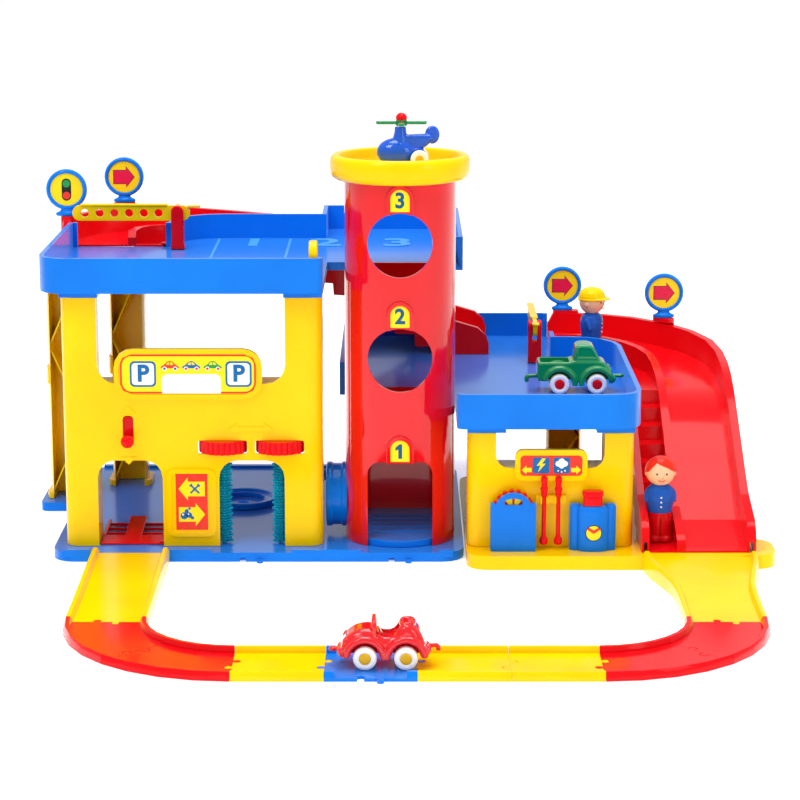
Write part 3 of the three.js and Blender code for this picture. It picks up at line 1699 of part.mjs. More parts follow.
// A pair of wheels on one axle along Y, its origin on the axle's middle
function wheelSet(radius, track) {
  const half = track / 2;
  const inner = half - carWheelWidth;
  return turnedAlongY([
    [0, -half],
    [radius - edgeRound / 2, -half],
    [radius, -half + edgeRound / 2],
    [radius, -inner],
    [carAxleRadius, -inner],
    [carAxleRadius, inner],
    [radius, inner],
    [radius, half - edgeRound / 2],
    [radius - edgeRound / 2, half],
    [0, half],
  ], tinyRound);
}

// A toy car body from its side outline, with a hollow from above, a hook at each end, wells for the
// wheels and slots from below for the axles
function carBody(outline, axleX, hollow, hollowWidth) {
  const half = carWidth / 2;
  const wheelInner = carTrack / 2 - carWheelWidth - runningGap;
  let body = panel(polygon(outline), -half, half);
  const [left, right, floor] = hollow;
  const inside = rounded(left, -hollowWidth / 2, right, hollowWidth / 2, edgeRound);
  body = cut(body, slab(inside, floor, truckHeight + overrun, coarse));
  const hookHalf = hookWidth / 2;
  const hookLow = hookZ - hookHeight / 2;
  const hook = block([-carLength / 2, -hookHalf, hookLow], [carLength / 2, hookHalf, hookLow + hookHeight]);
  body = join(body, hook);
  for (const x of axleX) {
    const well = disc(x, carWheelRadius, carWheelRadius + runningGap * 2);
    body = cut(
      body,
      panel(well, -carTrack, -wheelInner, coarse),
      panel(well, wheelInner, carTrack, coarse),
    );
    const slot = carAxleRadius + runningGap;
    body = cut(body, block([x - slot, -carTrack, -overrun], [x + slot, carTrack, carWheelRadius + slot]));
  }
  return body;
}

function addCars() {
  const roadZ = roadThickness + gap;
  const deckZ = middleFloor + gap;
  const frontY = loopBendY - bendRadius;
  const roadsterAxles = [roadsterAxleX, roadsterAxleX + carAxleSpacing];
  const truckAxles = [truckAxleX, truckAxleX + truckAxleSpacing];
  const cars = [
    ['roadster', roadsterSide, roadsterHeight, roadsterAxles, roadsterSeatShares, 'red'],
    ['tow_truck', truckSide, truckHeight, truckAxles, truckBedShares, 'green'],
  ];
  const places = [[roadsterX, frontY, roadZ], [truckX, truckY, deckZ]];
  cars.forEach(([name, side, height, axles, [left, right, floor], finish], car) => {
    const [x, y, z] = places[car];
    const outline = side.map(([along, up]) => [along * carLength, up * height]);
    const hollow = [left * carLength, right * carLength, floor * height];
    const body = carBody(outline, axles, hollow, carWidth - bedWall * 2);
    addPiece(`${name}_body`, body, finish, placedGroup(x, y, z));
    axles.forEach((axle, i) => {
      const wheels = wheelSet(carWheelRadius, carTrack + runningGap * 2);
      addPiece(`${name}_wheels_${i + 1}`, wheels, 'white', placedGroup(x + axle, y, z + carWheelRadius));
    });
  });
}

// Helicopter on the landing pad: an egg-shaped cabin on a flat belly, two fixed wheels, a tail that
// rises to a round fin, a tapered mast, and a rotor of four blades whose pin turns in the mast
function addHelicopter() {
  const ground = towerTop + padFloor + gap;
  const cabin = ball(cabinX, 0, cabinZ, cabinLength, cabinWidth, cabinHeight, tinyRound, cabinRings);
  const belly = block([cabinX - bellyLength, -bellyWidth, 0], [cabinX + bellyLength, bellyWidth, cabinZ]);
  const axle = block([cabinX + skin, -flyerWheelInner - skin / 2, skin], [
    flyerWheelX + skin,
    flyerWheelInner + skin / 2,
    flyerWheelRadius + skin,
  ]);
  const wheel = turnedAlongY([
    [0, flyerWheelInner],
    [flyerWheelRadius, flyerWheelInner],
    [flyerWheelRadius, flyerWheelOuter],
    [0, flyerWheelOuter],
  ], tinyRound);
  const wheels = [0, Math.PI].map((turn) => (
    solid(geometryOf(wheel).rotateX(turn).translate(flyerWheelX, 0, flyerWheelRadius))
  ));
  const tail = polygon([
    [0, tailRoot],
    [tailReach, tailZ - tailEndHeight / 2],
    [tailReach, tailZ + tailEndHeight / 2],
    [0, tailRoot + tailRootHeight],
  ]);
  const fin = panel(disc(tailReach, tailZ, finRadius), -finHalfThickness, finHalfThickness);
  const mast = turned([
    [0, cabinZ],
    [mastFoot, cabinZ],
    [mastFoot, cabinZ + cabinHeight * 0.8],
    [mastTop, mastHeight],
    [0, mastHeight],
  ], tinyRound);
  const bore = rod(rotorPin + gap, mastHeight - rotorPinLength - gap, mastHeight + overrun, tinyRound);
  const beam = panel(tail, -tailHalfWidth, tailHalfWidth);
  const body = cut(join(cabin, belly, axle, beam, fin, mast, ...wheels), bore);
  addPiece('helicopter_body', body, 'blue', placedGroup(helicopterX, towerY, ground));
  const half = bladeWidth / 2;
  const shape = rounded(0, -half, bladeLength, half, half - gap);
  const blade = slab(shape, bladeRise, bladeRise + bladeThickness, coarse);
  const blades = [0, 1, 2, 3].map((quarter) => moved(blade, 0, 0, 0, quarter * (Math.PI / 2)));
  const hub = rod(rotorHub, 0, rotorHubHeight, tinyRound);
  const ballZ = rotorHubHeight + rotorBall / 3;
  const knob = ball(0, 0, ballZ, rotorBall, rotorBall, rotorBall, tinyRound, tinyRound / 2);
  const pin = rod(rotorPin, -rotorPinLength, overrun, tinyRound);
  const place = placedGroup(helicopterX, towerY, ground + mastHeight + gap);
  addPiece('helicopter_rotor', join(...blades, hub, knob, pin), 'green', place);
}

// A play figure: legs in one round piece, a wider barrel torso with arms, a round head under a cap
function figure() {
  const body = turned([
    [0, 0],
    [legRadius * 0.9, 0],
    [legRadius, legRadius / 4],
    [legRadius, legHeight],
    [torsoRadius * 0.85, legHeight],
    [torsoRadius, (legHeight + shoulderHeight) / 2],
    [torsoRadius * 0.85, shoulderHeight],
    [neckRadius, neckHeight],
    [0, neckHeight],
  ], tinyRound);
  const head = ball(0, 0, headHeight, headRadius, headRadius, headRadius, tinyRound, tinyRound / 2);
  const hat = turned([
    [0, hatBottom],
    [hatRadius, hatBottom],
    [hatRadius * 0.95, (hatBottom + figureTop) / 2],
    [hatRadius * 0.6, figureTop],
    [0, figureTop],
  ], tinyRound);
  const armMiddle = (armLow + shoulderHeight) / 2;
  const armHalf = (shoulderHeight - armLow) / 2;
  const arms = [-armReach, armReach].map((y) => (
    ball(0, y, armMiddle, armRadius, armRadius, armHalf, armSides, armSides / 2)
  ));
  return join(body, head, hat, ...arms);
}

function addFigures() {
  const walk = rampOuterRadius - rampWidth + rampInnerWidth + stairWidth / 2;
  const turn = THREE.MathUtils.degToRad(workerTurn);
  const workerAlong = rampOuterRadius - walk * Math.cos(turn);
  const workerX = lowerRampX + rampEntry + walk * Math.sin(turn);
  const landing = middleFloor + rampStepUp - landingDrop + gap;
  addPiece(
    'worker_figure',
    figure(),
    'blue',
    placedGroup(workerX, lowerRampY - workerAlong, landing, Math.PI / 2),
  );
  const driverX = lowerRampX + rampEntry + walk;
  const driverY = lowerRampY - rampOuterRadius - rampRun * driverShare;
  const exit = stationThickness + gap + rampFoot + gap;
  addPiece('driver_figure', figure(), 'blue', placedGroup(driverX, driverY, exit, 0));
}

addRoadLoop();
addClimbingRoads();
addBasePlate();
addTurntable();
addFrontWall();
addCarWash();
addCarLift();
addColumns();
addUpperDeck();
addMiddleDeck();
addTower();
addLandingPad();
addPlatform();
addCrank();
addRamps();
addStation();
addPumpCase();
addBottlePump();
addNozzles();
addBarriers();
addCornerTab();
addSigns();
addCars();
addHelicopter();
addFigures();

export default garage;
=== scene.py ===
import json
import math

import bpy
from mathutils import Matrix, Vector


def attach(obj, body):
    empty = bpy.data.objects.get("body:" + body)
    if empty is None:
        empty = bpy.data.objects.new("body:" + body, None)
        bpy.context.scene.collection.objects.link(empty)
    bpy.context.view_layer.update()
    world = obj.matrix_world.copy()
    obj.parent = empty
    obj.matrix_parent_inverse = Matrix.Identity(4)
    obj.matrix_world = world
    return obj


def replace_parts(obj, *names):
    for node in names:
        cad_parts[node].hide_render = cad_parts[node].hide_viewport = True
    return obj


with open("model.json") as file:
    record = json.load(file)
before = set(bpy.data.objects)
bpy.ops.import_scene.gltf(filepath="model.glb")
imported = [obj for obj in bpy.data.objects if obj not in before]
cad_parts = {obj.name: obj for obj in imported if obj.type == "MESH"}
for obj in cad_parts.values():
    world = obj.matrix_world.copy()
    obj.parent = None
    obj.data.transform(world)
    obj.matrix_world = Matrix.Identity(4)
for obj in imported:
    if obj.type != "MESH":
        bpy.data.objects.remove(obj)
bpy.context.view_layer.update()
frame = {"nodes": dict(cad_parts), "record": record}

# Base plate: the blue floor tray with its kerbs between the doorways. It is injection-moulded ABS from a
# polished mould, so every edge has the small round that the tool leaves, and the skin is glossy.
MM = 0.001
SMOOTH_BELOW = math.radians(34)
BODY_OF = {node: body for body, nodes in frame["record"]["behaviour"]["bodies"].items() for node in nodes}
SLOT_OF = {row["node"]: row["material_slot"] for row in frame["record"]["subparts"]}


def linear(colour):
    """Linear values of an sRGB hex colour."""
    parts = [int(colour[i:i + 2], 16) / 255 for i in (1, 3, 5)]
    return [p / 12.92 if p <= 0.04045 else ((p + 0.055) / 1.055) ** 2.4 for p in parts] + [1.0]


def add_node(tree, kind, settings=None, links=None):
    """Adds a shader node, sets its properties or sockets and links sockets into it."""
    node = tree.nodes.new(kind)
    for name, value in (settings or {}).items():
        if isinstance(name, int) or name in node.inputs:
            node.inputs[name].default_value = value
        else:
            setattr(node, name, value)
    for name, socket in (links or {}).items():
        tree.links.new(socket, node.inputs[name])
    return node


PEEL_GRAIN = 1.6


def moulded_plastic(
    name, colour, deep, roughness=0.17, flow_mm=80, peel=0.05, coat=0.14, glow=0.03, sheen=0.3, haze=0.0
):
    """Moulded plastic: its colour drifts with the melt's flow, and its skin has a faint orange peel.

    It mirrors little where it faces the eye and more at a grazing angle, and haze pales its level floors.
    """
    material = bpy.data.materials.new(name)
    material.use_nodes = True
    tree = material.node_tree
    shader = tree.nodes["Principled BSDF"]
    place = add_node(tree, "ShaderNodeTexCoord").outputs["Object"]
    flow = add_node(
        tree, "ShaderNodeTexNoise", {"Scale": 1 / (flow_mm * MM), "Detail": 4.0}, {"Vector": place}
    )
    drift = add_node(
        tree, "ShaderNodeMapRange", {"From Min": 0.35, "From Max": 0.65}, {"Value": flow.outputs["Fac"]}
    )
    tone = add_node(
        tree, "ShaderNodeMix", {"data_type": "RGBA", 6: linear(colour), 7: linear(deep)},
        {0: drift.outputs["Result"]},
    )
    skin = add_node(
        tree, "ShaderNodeMapRange", {"To Min": roughness * 0.75, "To Max": roughness * 1.35},
        {"Value": flow.outputs["Fac"]},
    )
    grain = add_node(
        tree, "ShaderNodeTexNoise", {"Scale": 1 / (PEEL_GRAIN * MM), "Detail": 2.0}, {"Vector": place}
    )
    bump = add_node(
        tree, "ShaderNodeBump", {"Strength": peel, "Distance": 0.2 * MM}, {"Height": grain.outputs["Fac"]}
    )
    facing = add_node(tree, "ShaderNodeLayerWeight", {"Blend": 0.5}).outputs["Facing"]
    grazing = add_node(
        tree, "ShaderNodeMapRange", {"From Min": 0.35, "From Max": 0.85, "To Min": 0.06, "To Max": sheen},
        {"Value": facing},
    )
    for socket, name_of_input in (
        (tone.outputs[2], "Base Color"), (grazing.outputs["Result"], "Specular IOR Level"),
        (skin.outputs["Result"], "Roughness"), (bump.outputs["Normal"], "Normal"),
    ):
        tree.links.new(socket, shader.inputs[name_of_input])
    settings = {
        "IOR": 1.53, "Sheen Weight": haze, "Sheen Roughness": 0.4, "Sheen Tint": linear("#9AD2FF"),
        "Coat Weight": coat, "Coat Roughness": 0.06, "Subsurface Weight": glow,
        "Subsurface Radius": (3 * MM, 2 * MM, 1.5 * MM),
    }
    for name_of_input, value in settings.items():
        shader.inputs[name_of_input].default_value = value
    return material


# Blue ABS: deep where it stands upright, and paler on its floors, where its skin catches the light.
BLUE = moulded_plastic("abs_moulded_blue", "#067AE6", "#0472DC", sheen=0.5, haze=0.3)
PLASTIC_OF_SLOT = {"blue_plastic": BLUE}


def select_only(*pieces):
    """Makes the given pieces the only selected ones, the first of them active."""
    bpy.ops.object.select_all(action="DESELECT")
    for piece in pieces:
        piece.select_set(True)
    bpy.context.view_layer.objects.active = pieces[0]


def apply_modifier(piece, kind, **settings):
    """Adds a modifier to a piece, sets it and applies it."""
    select_only(piece)
    modifier = piece.modifiers.new(kind.lower(), kind)
    for name, value in settings.items():
        setattr(modifier, name, value)
    bpy.ops.object.modifier_apply(modifier=modifier.name)


def finish(piece, material, edge, segments=3):
    """Rounds a piece's mould edges, smooths it and gives it its plastic."""
    if edge:
        apply_modifier(
            piece, "BEVEL", width=edge * MM, segments=segments, limit_method="ANGLE",
            angle_limit=SMOOTH_BELOW, use_clamp_overlap=True,
        )
    select_only(piece)
    bpy.ops.object.shade_smooth_by_angle(angle=SMOOTH_BELOW)
    apply_modifier(piece, "WEIGHTED_NORMAL", keep_sharp=True)
    if material:
        piece.data.materials.clear()
        piece.data.materials.append(material)
    return piece


def seat(piece, body):
    """Lets a finished piece move with its body."""
    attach(piece, body)
    return piece


def stand_in(piece, node):
    """Seats a finished piece as its CAD node is seated, and lets it take that node's place."""
    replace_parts(seat(piece, BODY_OF[node]), node)
    return piece


def skin_of(node, name, whole):
    """A merged copy of a CAD node's mesh, its flat faces made whole if wished, ready to be finished."""
    piece = bpy.data.objects.new(name, frame["nodes"][node].data.copy())
    bpy.context.scene.collection.objects.link(piece)
    select_only(piece)
    bpy.ops.object.mode_set(mode="EDIT")
    bpy.ops.mesh.select_all(action="SELECT")
    bpy.ops.mesh.remove_doubles(threshold=0.02 * MM)
    if whole:
        bpy.ops.mesh.dissolve_limited(angle_limit=math.radians(1))
    bpy.ops.object.mode_set(mode="OBJECT")
    return piece


def moulding(node, edge, whole=True):
    """The CAD solid of a node as a finished moulding."""
    plastic = PLASTIC_OF_SLOT[SLOT_OF[node]]
    return stand_in(finish(skin_of(node, node + "_moulding", whole), plastic, edge), node)


moulding("base_plate", edge=1.4)

# Turntable: a loose ring in the wash bay that turns a car round. It is one moulding of blue ABS with a
# raised round track, and it lies on the base plate's floor.
TURNTABLE = (-172, 177)
UP = (0, 0, 0)


def place_on(piece, place, turns=(0, 0, 0)):
    """Applies a place in mm and turns in degrees to a piece drawn at the origin."""
    select_only(piece)
    piece.rotation_euler = [math.radians(t) for t in turns]
    piece.location = [p * MM for p in place]
    bpy.ops.object.transform_apply(location=True, rotation=True, scale=True)
    return piece


def start(name, primitive, **settings):
    """Adds a primitive under a name and opens it in edit mode, all of it selected."""
    bpy.ops.object.select_all(action="DESELECT")
    primitive(**settings)
    piece = bpy.context.active_object
    piece.name = name
    bpy.ops.object.mode_set(mode="EDIT")
    bpy.ops.mesh.select_all(action="SELECT")
    return piece


def turned(name, rings, place=(0, 0, 0), turns=UP, sides=64, open_bore=False, flatten=1.0):
    """A round moulding drawn up from a disc, ring by ring, each ring a radius and a height in mm.

    With an open bore the last ring is bridged to the first; flatten squeezes it to an oval.
    """
    radius, height = rings[0]
    piece = start(
        name, bpy.ops.mesh.primitive_circle_add, vertices=sides, radius=radius * MM, fill_type="NGON",
        location=(0, 0, height * MM),
    )
    bpy.ops.object.mode_set(mode="OBJECT")
    select_only(piece)
    bpy.ops.object.transform_apply(location=True)
    bpy.ops.object.mode_set(mode="EDIT")
    bpy.ops.mesh.select_mode(type="FACE")
    bpy.ops.mesh.select_all(action="SELECT")
    for (radius, height), (next_radius, next_height) in zip(rings, rings[1:]):
        rise = (next_height - height) * MM
        bpy.ops.mesh.extrude_region_move(TRANSFORM_OT_translate={"value": (0, 0, rise)})
        grow = next_radius / radius
        bpy.ops.transform.resize(value=(grow, grow, 1), center_override=(0, 0, 0))
    if open_bore:
        bpy.ops.object.mode_set(mode="OBJECT")
        for face in piece.data.polygons:
            face.select = len(face.vertices) == sides
        bpy.ops.object.mode_set(mode="EDIT")
        bpy.ops.mesh.bridge_edge_loops()
    bpy.ops.mesh.select_all(action="SELECT")
    bpy.ops.mesh.normals_make_consistent(inside=False)
    if flatten != 1:
        bpy.ops.transform.resize(value=(1, flatten, 1), center_override=(0, 0, 0))
    bpy.ops.object.mode_set(mode="OBJECT")
    return place_on(piece, place, turns)


ring = turned(
    "turntable_ring",
    [(25, 10.5), (39, 10.5), (40, 11.5), (40, 16), (38.6, 17.6), (36.5, 18), (34, 17.4), (32, 15), (27, 15),
     (26, 15.6), (24.6, 15), (24.6, 11.5)],
    (*TURNTABLE, 0), sides=72, open_bore=True,
)
stand_in(finish(ring, BLUE, 0), "turntable")

# Front wall: one tall yellow moulding with two doorways, a bay over the sign board and slots for the
# lift's lever and the two thumb wheels. Its signs are printed vinyl stickers laid on raised panels.
FRONT = (90, 0, 0)
PRINT, SCREEN_DOT, FILM_WAVE = 0.14, 0.5, 9
# Yellow ABS: a warm, even yellow that mirrors little of the white room.
YELLOW = moulded_plastic("abs_moulded_yellow", "#FDD000", "#FBC600", sheen=0.2)
PLASTIC_OF_SLOT["yellow_plastic"] = YELLOW
moulding("front_wall", edge=1.6)


def printed_vinyl(name, colour):
    """Printed vinyl film: flat ink with a fine screen dot under a clear, slightly satin laminate."""
    material = bpy.data.materials.new(name)
    material.use_nodes = True
    tree = material.node_tree
    shader = tree.nodes["Principled BSDF"]
    place = add_node(tree, "ShaderNodeTexCoord").outputs["Object"]
    dots = add_node(tree, "ShaderNodeTexVoronoi", {"Scale": 1 / (SCREEN_DOT * MM)}, {"Vector": place})
    ink = [c * 0.93 for c in linear(colour)[:3]] + [1.0]
    tone = add_node(
        tree, "ShaderNodeMix", {"data_type": "RGBA", 6: linear(colour), 7: ink}, {0: dots.outputs["Distance"]}
    )
    wave = add_node(
        tree, "ShaderNodeTexNoise", {"Scale": 1 / (FILM_WAVE * MM), "Detail": 2.0}, {"Vector": place}
    )
    gloss = add_node(
        tree, "ShaderNodeMapRange", {"To Min": 0.22, "To Max": 0.34}, {"Value": wave.outputs["Fac"]}
    )
    tree.links.new(tone.outputs[2], shader.inputs["Base Color"])
    tree.links.new(gloss.outputs["Result"], shader.inputs["Roughness"])
    shader.inputs["IOR"].default_value = 1.5
    shader.inputs["Specular IOR Level"].default_value = 0.2
    return material


# Printed vinyl: flat and satin, so the signs read as film on the glossy mouldings.
INK_YELLOW = printed_vinyl("printed_vinyl_yellow", "#FFE312")
INK_RED = printed_vinyl("printed_vinyl_red", "#F2382B")
INK_BLUE = printed_vinyl("printed_vinyl_blue", "#0B68AC")
INK_GREEN = printed_vinyl("printed_vinyl_green", "#1F9A4C")
INK_WHITE = printed_vinyl("printed_vinyl_white", "#F6F4F1")


def arc(x, y, radius, first, last, steps=10):
    """Points of an arc about a centre between two angles in degrees."""
    angles = [math.radians(first + (last - first) * i / steps) for i in range(steps + 1)]
    return [(x + radius * math.cos(a), y + radius * math.sin(a)) for a in angles]


def joined(name, pieces):
    """Joins pieces to one object under a name."""
    select_only(*pieces)
    bpy.ops.object.join()
    pieces[0].name = name
    return pieces[0]


def traced(name, outline, depth, place=(0, 0, 0), turns=UP):
    """An outline in mm drawn point by point from one vertex, filled and drawn up by its depth."""
    piece = start(name, bpy.ops.mesh.primitive_plane_add, size=MM)
    bpy.ops.mesh.select_mode(type="VERT")
    bpy.ops.mesh.select_all(action="SELECT")
    bpy.ops.mesh.merge(type="CENTER")
    bpy.ops.transform.translate(value=(outline[0][0] * MM, outline[0][1] * MM, 0))
    for (x, y), (next_x, next_y) in zip(outline, outline[1:]):
        step = ((next_x - x) * MM, (next_y - y) * MM, 0)
        bpy.ops.mesh.extrude_region_move(TRANSFORM_OT_translate={"value": step})
    bpy.ops.mesh.select_all(action="SELECT")
    bpy.ops.mesh.edge_face_add()
    bpy.ops.mesh.extrude_region_move(TRANSFORM_OT_translate={"value": (0, 0, depth * MM)})
    bpy.ops.mesh.select_all(action="SELECT")
    bpy.ops.mesh.normals_make_consistent(inside=False)
    bpy.ops.object.mode_set(mode="OBJECT")
    return place_on(piece, place, turns)


def inked(piece, ink):
    """Gives a printed shape its ink."""
    piece.data.materials.clear()
    piece.data.materials.append(ink)
    return piece


def print_shape(outline, ink, layer, x=0, z=0):
    """A printed shape in front view, each layer lying a hair proud of the one before."""
    return inked(traced("print", [(px + x, pz + z) for px, pz in outline], PRINT * layer), ink)


def print_dot(x, z, radius, ink, layer, sides=32):
    """A printed round dot in front view."""
    dot = turned("print", [(radius, 0), (radius, PRINT * layer)], (x, z, 0), sides=sides)
    return inked(dot, ink)


def merged(piece):
    """Merges the doubles of a piece that was just made a mesh."""
    select_only(piece)
    bpy.ops.object.mode_set(mode="EDIT")
    bpy.ops.mesh.select_all(action="SELECT")
    bpy.ops.mesh.remove_doubles(threshold=0.01 * MM)
    bpy.ops.object.mode_set(mode="OBJECT")
    return piece


def lettering(name, text, size, swell, thick, bevel=0.0):
    """A figure or letter about the origin, made a mesh, its strokes swelled to both sides."""
    bpy.ops.object.select_all(action="DESELECT")
    bpy.ops.object.text_add()
    piece = bpy.context.active_object
    piece.name = name
    font = piece.data
    font.body, font.align_x, font.align_y = text, "CENTER", "CENTER"
    font.size, font.offset, font.extrude = size * MM, swell * MM, thick / 2 * MM
    font.bevel_depth = bevel * MM
    bpy.ops.object.convert(target="MESH")
    return merged(piece)


def print_text(text, size, ink, layer, x, z, swell):
    """A printed figure or letter in front view."""
    piece = lettering("print", text, size, swell, PRINT * layer)
    return inked(place_on(piece, (x, z, PRINT * layer / 2)), ink)


def sticker(name, shapes, place, turns=FRONT, body="garage"):
    """Joins printed shapes to one sticker, lays it in its place and seats it."""
    return seat(place_on(joined(name, shapes), place, turns), body)


def rounded_box(left, low, right, high, radius, steps=6):
    """Outline of a rectangle with round corners."""
    return (
        arc(right - radius, low + radius, radius, -90, 0, steps)
        + arc(right - radius, high - radius, radius, 0, 90, steps)
        + arc(left + radius, high - radius, radius, 90, 180, steps)
        + arc(left + radius, low + radius, radius, 180, 270, steps)
    )


def arrow(length, high, shaft, head, back=1):
    """Outline of a flat arrow about its middle, pointing to the right, or to the left with back -1."""
    tip, tail, neck = length / 2, -length / 2, length / 2 - head
    points = [(tail, -shaft / 2), (neck, -shaft / 2), (neck, -high / 2), (tip, 0), (neck, high / 2),
              (neck, shaft / 2), (tail, shaft / 2)]
    return [(x * back, z) for x, z in points]


BOARD = (-216, -13, 198)
BOARD_HALF = (71.4, 20.9)
BORDER = 1.9
wide, high = BOARD_HALF
inner_wide, inner_high = wide - BORDER, high - BORDER
sign = [
    print_shape(rounded_box(-wide, -high, wide, high, 11), INK_RED, 1),
    print_shape(rounded_box(-inner_wide, -inner_high, inner_wide, inner_high, 9.8), INK_YELLOW, 2),
]
panel_outline = [(-27.6, -high), (34.4, -high)] + arc(28.4, -6, 6, 0, 90) + arc(-21.6, -6, 6, 90, 180)
sign.append(print_shape(panel_outline, INK_WHITE, 3))
for x in (-47.4, 53.2):
    sign.append(print_shape(rounded_box(-13.8, -13.8, 13.8, 13.8, 5), INK_BLUE, 3, x, 0))
    sign.append(print_shape(rounded_box(-11.7, -11.7, 11.7, 11.7, 3.6), INK_WHITE, 4, x, 0))
    sign.append(print_text("P", 24.5, INK_BLUE, 5, x, 0, swell=0.9))
for x, ink, hub in ((-18.9, INK_RED, INK_BLUE), (3.6, INK_BLUE, INK_RED), (26.1, INK_GREEN, INK_RED)):
    shell = (
        [(-9.6, 2.2), (-9.2, 4.2), (-6.6, 5.6)] + arc(0, 4.6, 5.4, 150, 30)
        + [(6.6, 5.6), (9.2, 4.2), (9.6, 2.2), (6.2, 2.2), (-6.2, 2.2)]
    )
    sign.append(print_shape(shell, ink, 3, x, 4))
    for side in (-1, 1):
        window = [(0.5 * side, 5.8), (3.9 * side, 5.8), (2.7 * side, 8.2), (0.5 * side, 9)]
        sign.append(print_shape(window, INK_YELLOW, 4, x, 4))
        sign.append(print_dot(x + 5.6 * side, 5.8, 2.3, INK_WHITE, 4, 20))
        sign.append(print_dot(x + 5.6 * side, 5.8, 1.4, hub, 5, 16))
sticker("sign_board_sticker", sign, BOARD)

LANES = (-214.5, -11.3, 59)
lanes = [print_shape(rounded_box(-17, -31, 17, 31, 1), INK_RED, 1)]
lanes.append(print_shape(arrow(28, 25, 16, 10, -1), INK_YELLOW, 2, 0, 14))
lanes.append(print_shape(arrow(28, 25, 16, 10), INK_YELLOW, 2, 0, -14))
for turn in (45, 135):
    c, s = math.cos(math.radians(turn)), math.sin(math.radians(turn))
    spanner = [(-6.6, -1), (4.6, -1), (5.6, -1.9), (7.4, -1.3), (6.4, 0), (7.4, 1.3), (5.6, 1.9), (4.6, 1),
               (-6.6, 1)]
    crossed = [(x * c - z * s, x * s + z * c) for x, z in spanner]
    lanes.append(print_shape(crossed, INK_BLUE, 3 + turn // 90, 3.4, 14))
for x, z, radius in (
    (-8.4, -15.4, 3.9), (-3, -14.6, 3.1), (-5.6, -10.2, 2.2), (-2.6, -7.4, 1.4), (0.4, -17.6, 1.8)
):
    lanes.append(print_dot(x, z, radius, INK_BLUE, 3, 24))
for x, z, radius in ((-9.6, -14, 1.1), (-3.8, -13.6, 0.8)):
    lanes.append(print_dot(x, z, radius, INK_WHITE, 4, 16))
sticker("lane_arrows_sticker", lanes, LANES)

WALL_FACE, MARK_FOOT = -10.4, 0.6
WASH_MIDDLE, LEVER_X = -151, -280.5


def raised_mark(name, outline, place, relief=1.1, turns=FRONT, plastic=YELLOW):
    """A low mark moulded on a fixed face, its foot sunk in it and its edges softly rounded."""
    mark = place_on(traced(name, outline, relief + MARK_FOOT), place, turns)
    return seat(finish(mark, plastic, 0.3, 2), "garage")


double_arrow = [(24, 0), (14, 7), (14, 2.6), (-14, 2.6), (-14, 7),
                (-24, 0), (-14, -7), (-14, -2.6), (14, -2.6), (14, -7)]
raised_mark("thumb_wheel_arrow", double_arrow, (WASH_MIDDLE, WALL_FACE, 138))
raised_mark("thumb_wheel_rib", [(-0.7, -7), (0.7, -7), (0.7, 7), (-0.7, 7)], (WASH_MIDDLE, WALL_FACE, 121))
raised_mark("lever_up_arrow", [(-8.4, 0), (0, 8.4), (8.4, 0)], (LEVER_X, WALL_FACE, 155.5))
raised_mark("lever_down_arrow", [(-8.4, 0), (0, -8.4), (8.4, 0)], (LEVER_X, WALL_FACE, 108))

# Columns and decks: yellow hollow columns with ribbed backs carry two blue decks whose raised rims keep
# the cars in. Each is a single moulding of ABS, and the upper deck has three numbered bays.
for node in ("outer_column", "ramp_column", "lane_column", "shoulder_column"):
    moulding(node, edge=0.9)
moulding("upper_deck", edge=2.2)
moulding("middle_deck", edge=2.2)
moulding("corner_tab", edge=1.2)
MIDDLE_FLOOR, UPPER_FLOOR = 155, 295
FIRST_BAY, BAY_WIDTH, BAY_DIGIT_Y = -162, 83, 266
LINE = 3
# Matt blue ABS for the raised marks: their mould leaves them matt, and their colour is a paler blue than the
# floor, a painted highlight for the light their raised edges catch.
MATT_BLUE_PAINTED_HIGHLIGHT = moulded_plastic(
    "abs_matt_blue_painted_highlight", "#3E9BF2", "#3893EA", roughness=0.42, peel=0.12, sheen=0.3, haze=0.4
)
# The digits and the bay lines are raised in this paler blue, a painted highlight on the marks.
for number in (1, 2, 3):
    digit = lettering(f"bay_number_{number}", str(number), 78, 1.2, 1.8, bevel=0.3)
    place_on(digit, (FIRST_BAY + BAY_WIDTH * (number - 1), BAY_DIGIT_Y, UPPER_FLOOR))
    seat(finish(digit, MATT_BLUE_PAINTED_HIGHLIGHT, 0), "garage")
for i in range(4):
    x = FIRST_BAY + BAY_WIDTH * (i - 0.5)
    line = [(x - LINE / 2, 150), (x + LINE / 2, 150), (x + LINE / 2, 300), (x - LINE / 2, 300)]
    raised_mark(
        f"bay_line_{i + 1}", line, (0, 0, UPPER_FLOOR - MARK_FOOT), 0.5, UP, MATT_BLUE_PAINTED_HIGHLIGHT
    )

# Lift tower, landing pad and winding gear: a tall half-round shaft of red ABS, moulded thin and very
# glossy, with a doorway, two round windows and numbered plaques. A yellow pad is pressed on its top, a
# blue platform runs up inside it, and a blue winding wheel turns at its left flank.
TOWER = (7, 37)
TOWER_RADIUS, TOWER_WALL, TOWER_BACK = 59, 3.2, 126
TOWER_LOW, TOWER_TOP = 10.3, 404
WINDOWS, WINDOW_RADIUS = (214, 335.5), 34
DOORWAY_TOP = 104
PLAQUE_FEET = (104.3, WINDOWS[0] + WINDOW_RADIUS, WINDOWS[1] + WINDOW_RADIUS)
RIGHT = (90, 0, 90)
# Very glossy red ABS: the shaft mirrors the lights in tall, sharp streaks.
TOWER_RED = moulded_plastic(
    "abs_tower_red", "#E60A14", "#DC0710", roughness=0.1, flow_mm=120, peel=0.03, coat=0.7
)
# Teal print of the plaques' figures.
INK_TEAL = printed_vinyl("printed_vinyl_teal", "#045A84")


def shaft_outline(radius, back):
    """Half-round in front, square at the back."""
    return arc(*TOWER, radius, 180, 360, 48) + [(TOWER[0] + radius, back), (TOWER[0] - radius, back)]


def archway(left, low, right, high, radius):
    """A doorway outline with a round-cornered head."""
    return ([(left, low), (right, low)] + arc(right - radius, high - radius, radius, 0, 90)
            + arc(left + radius, high - radius, radius, 90, 180))


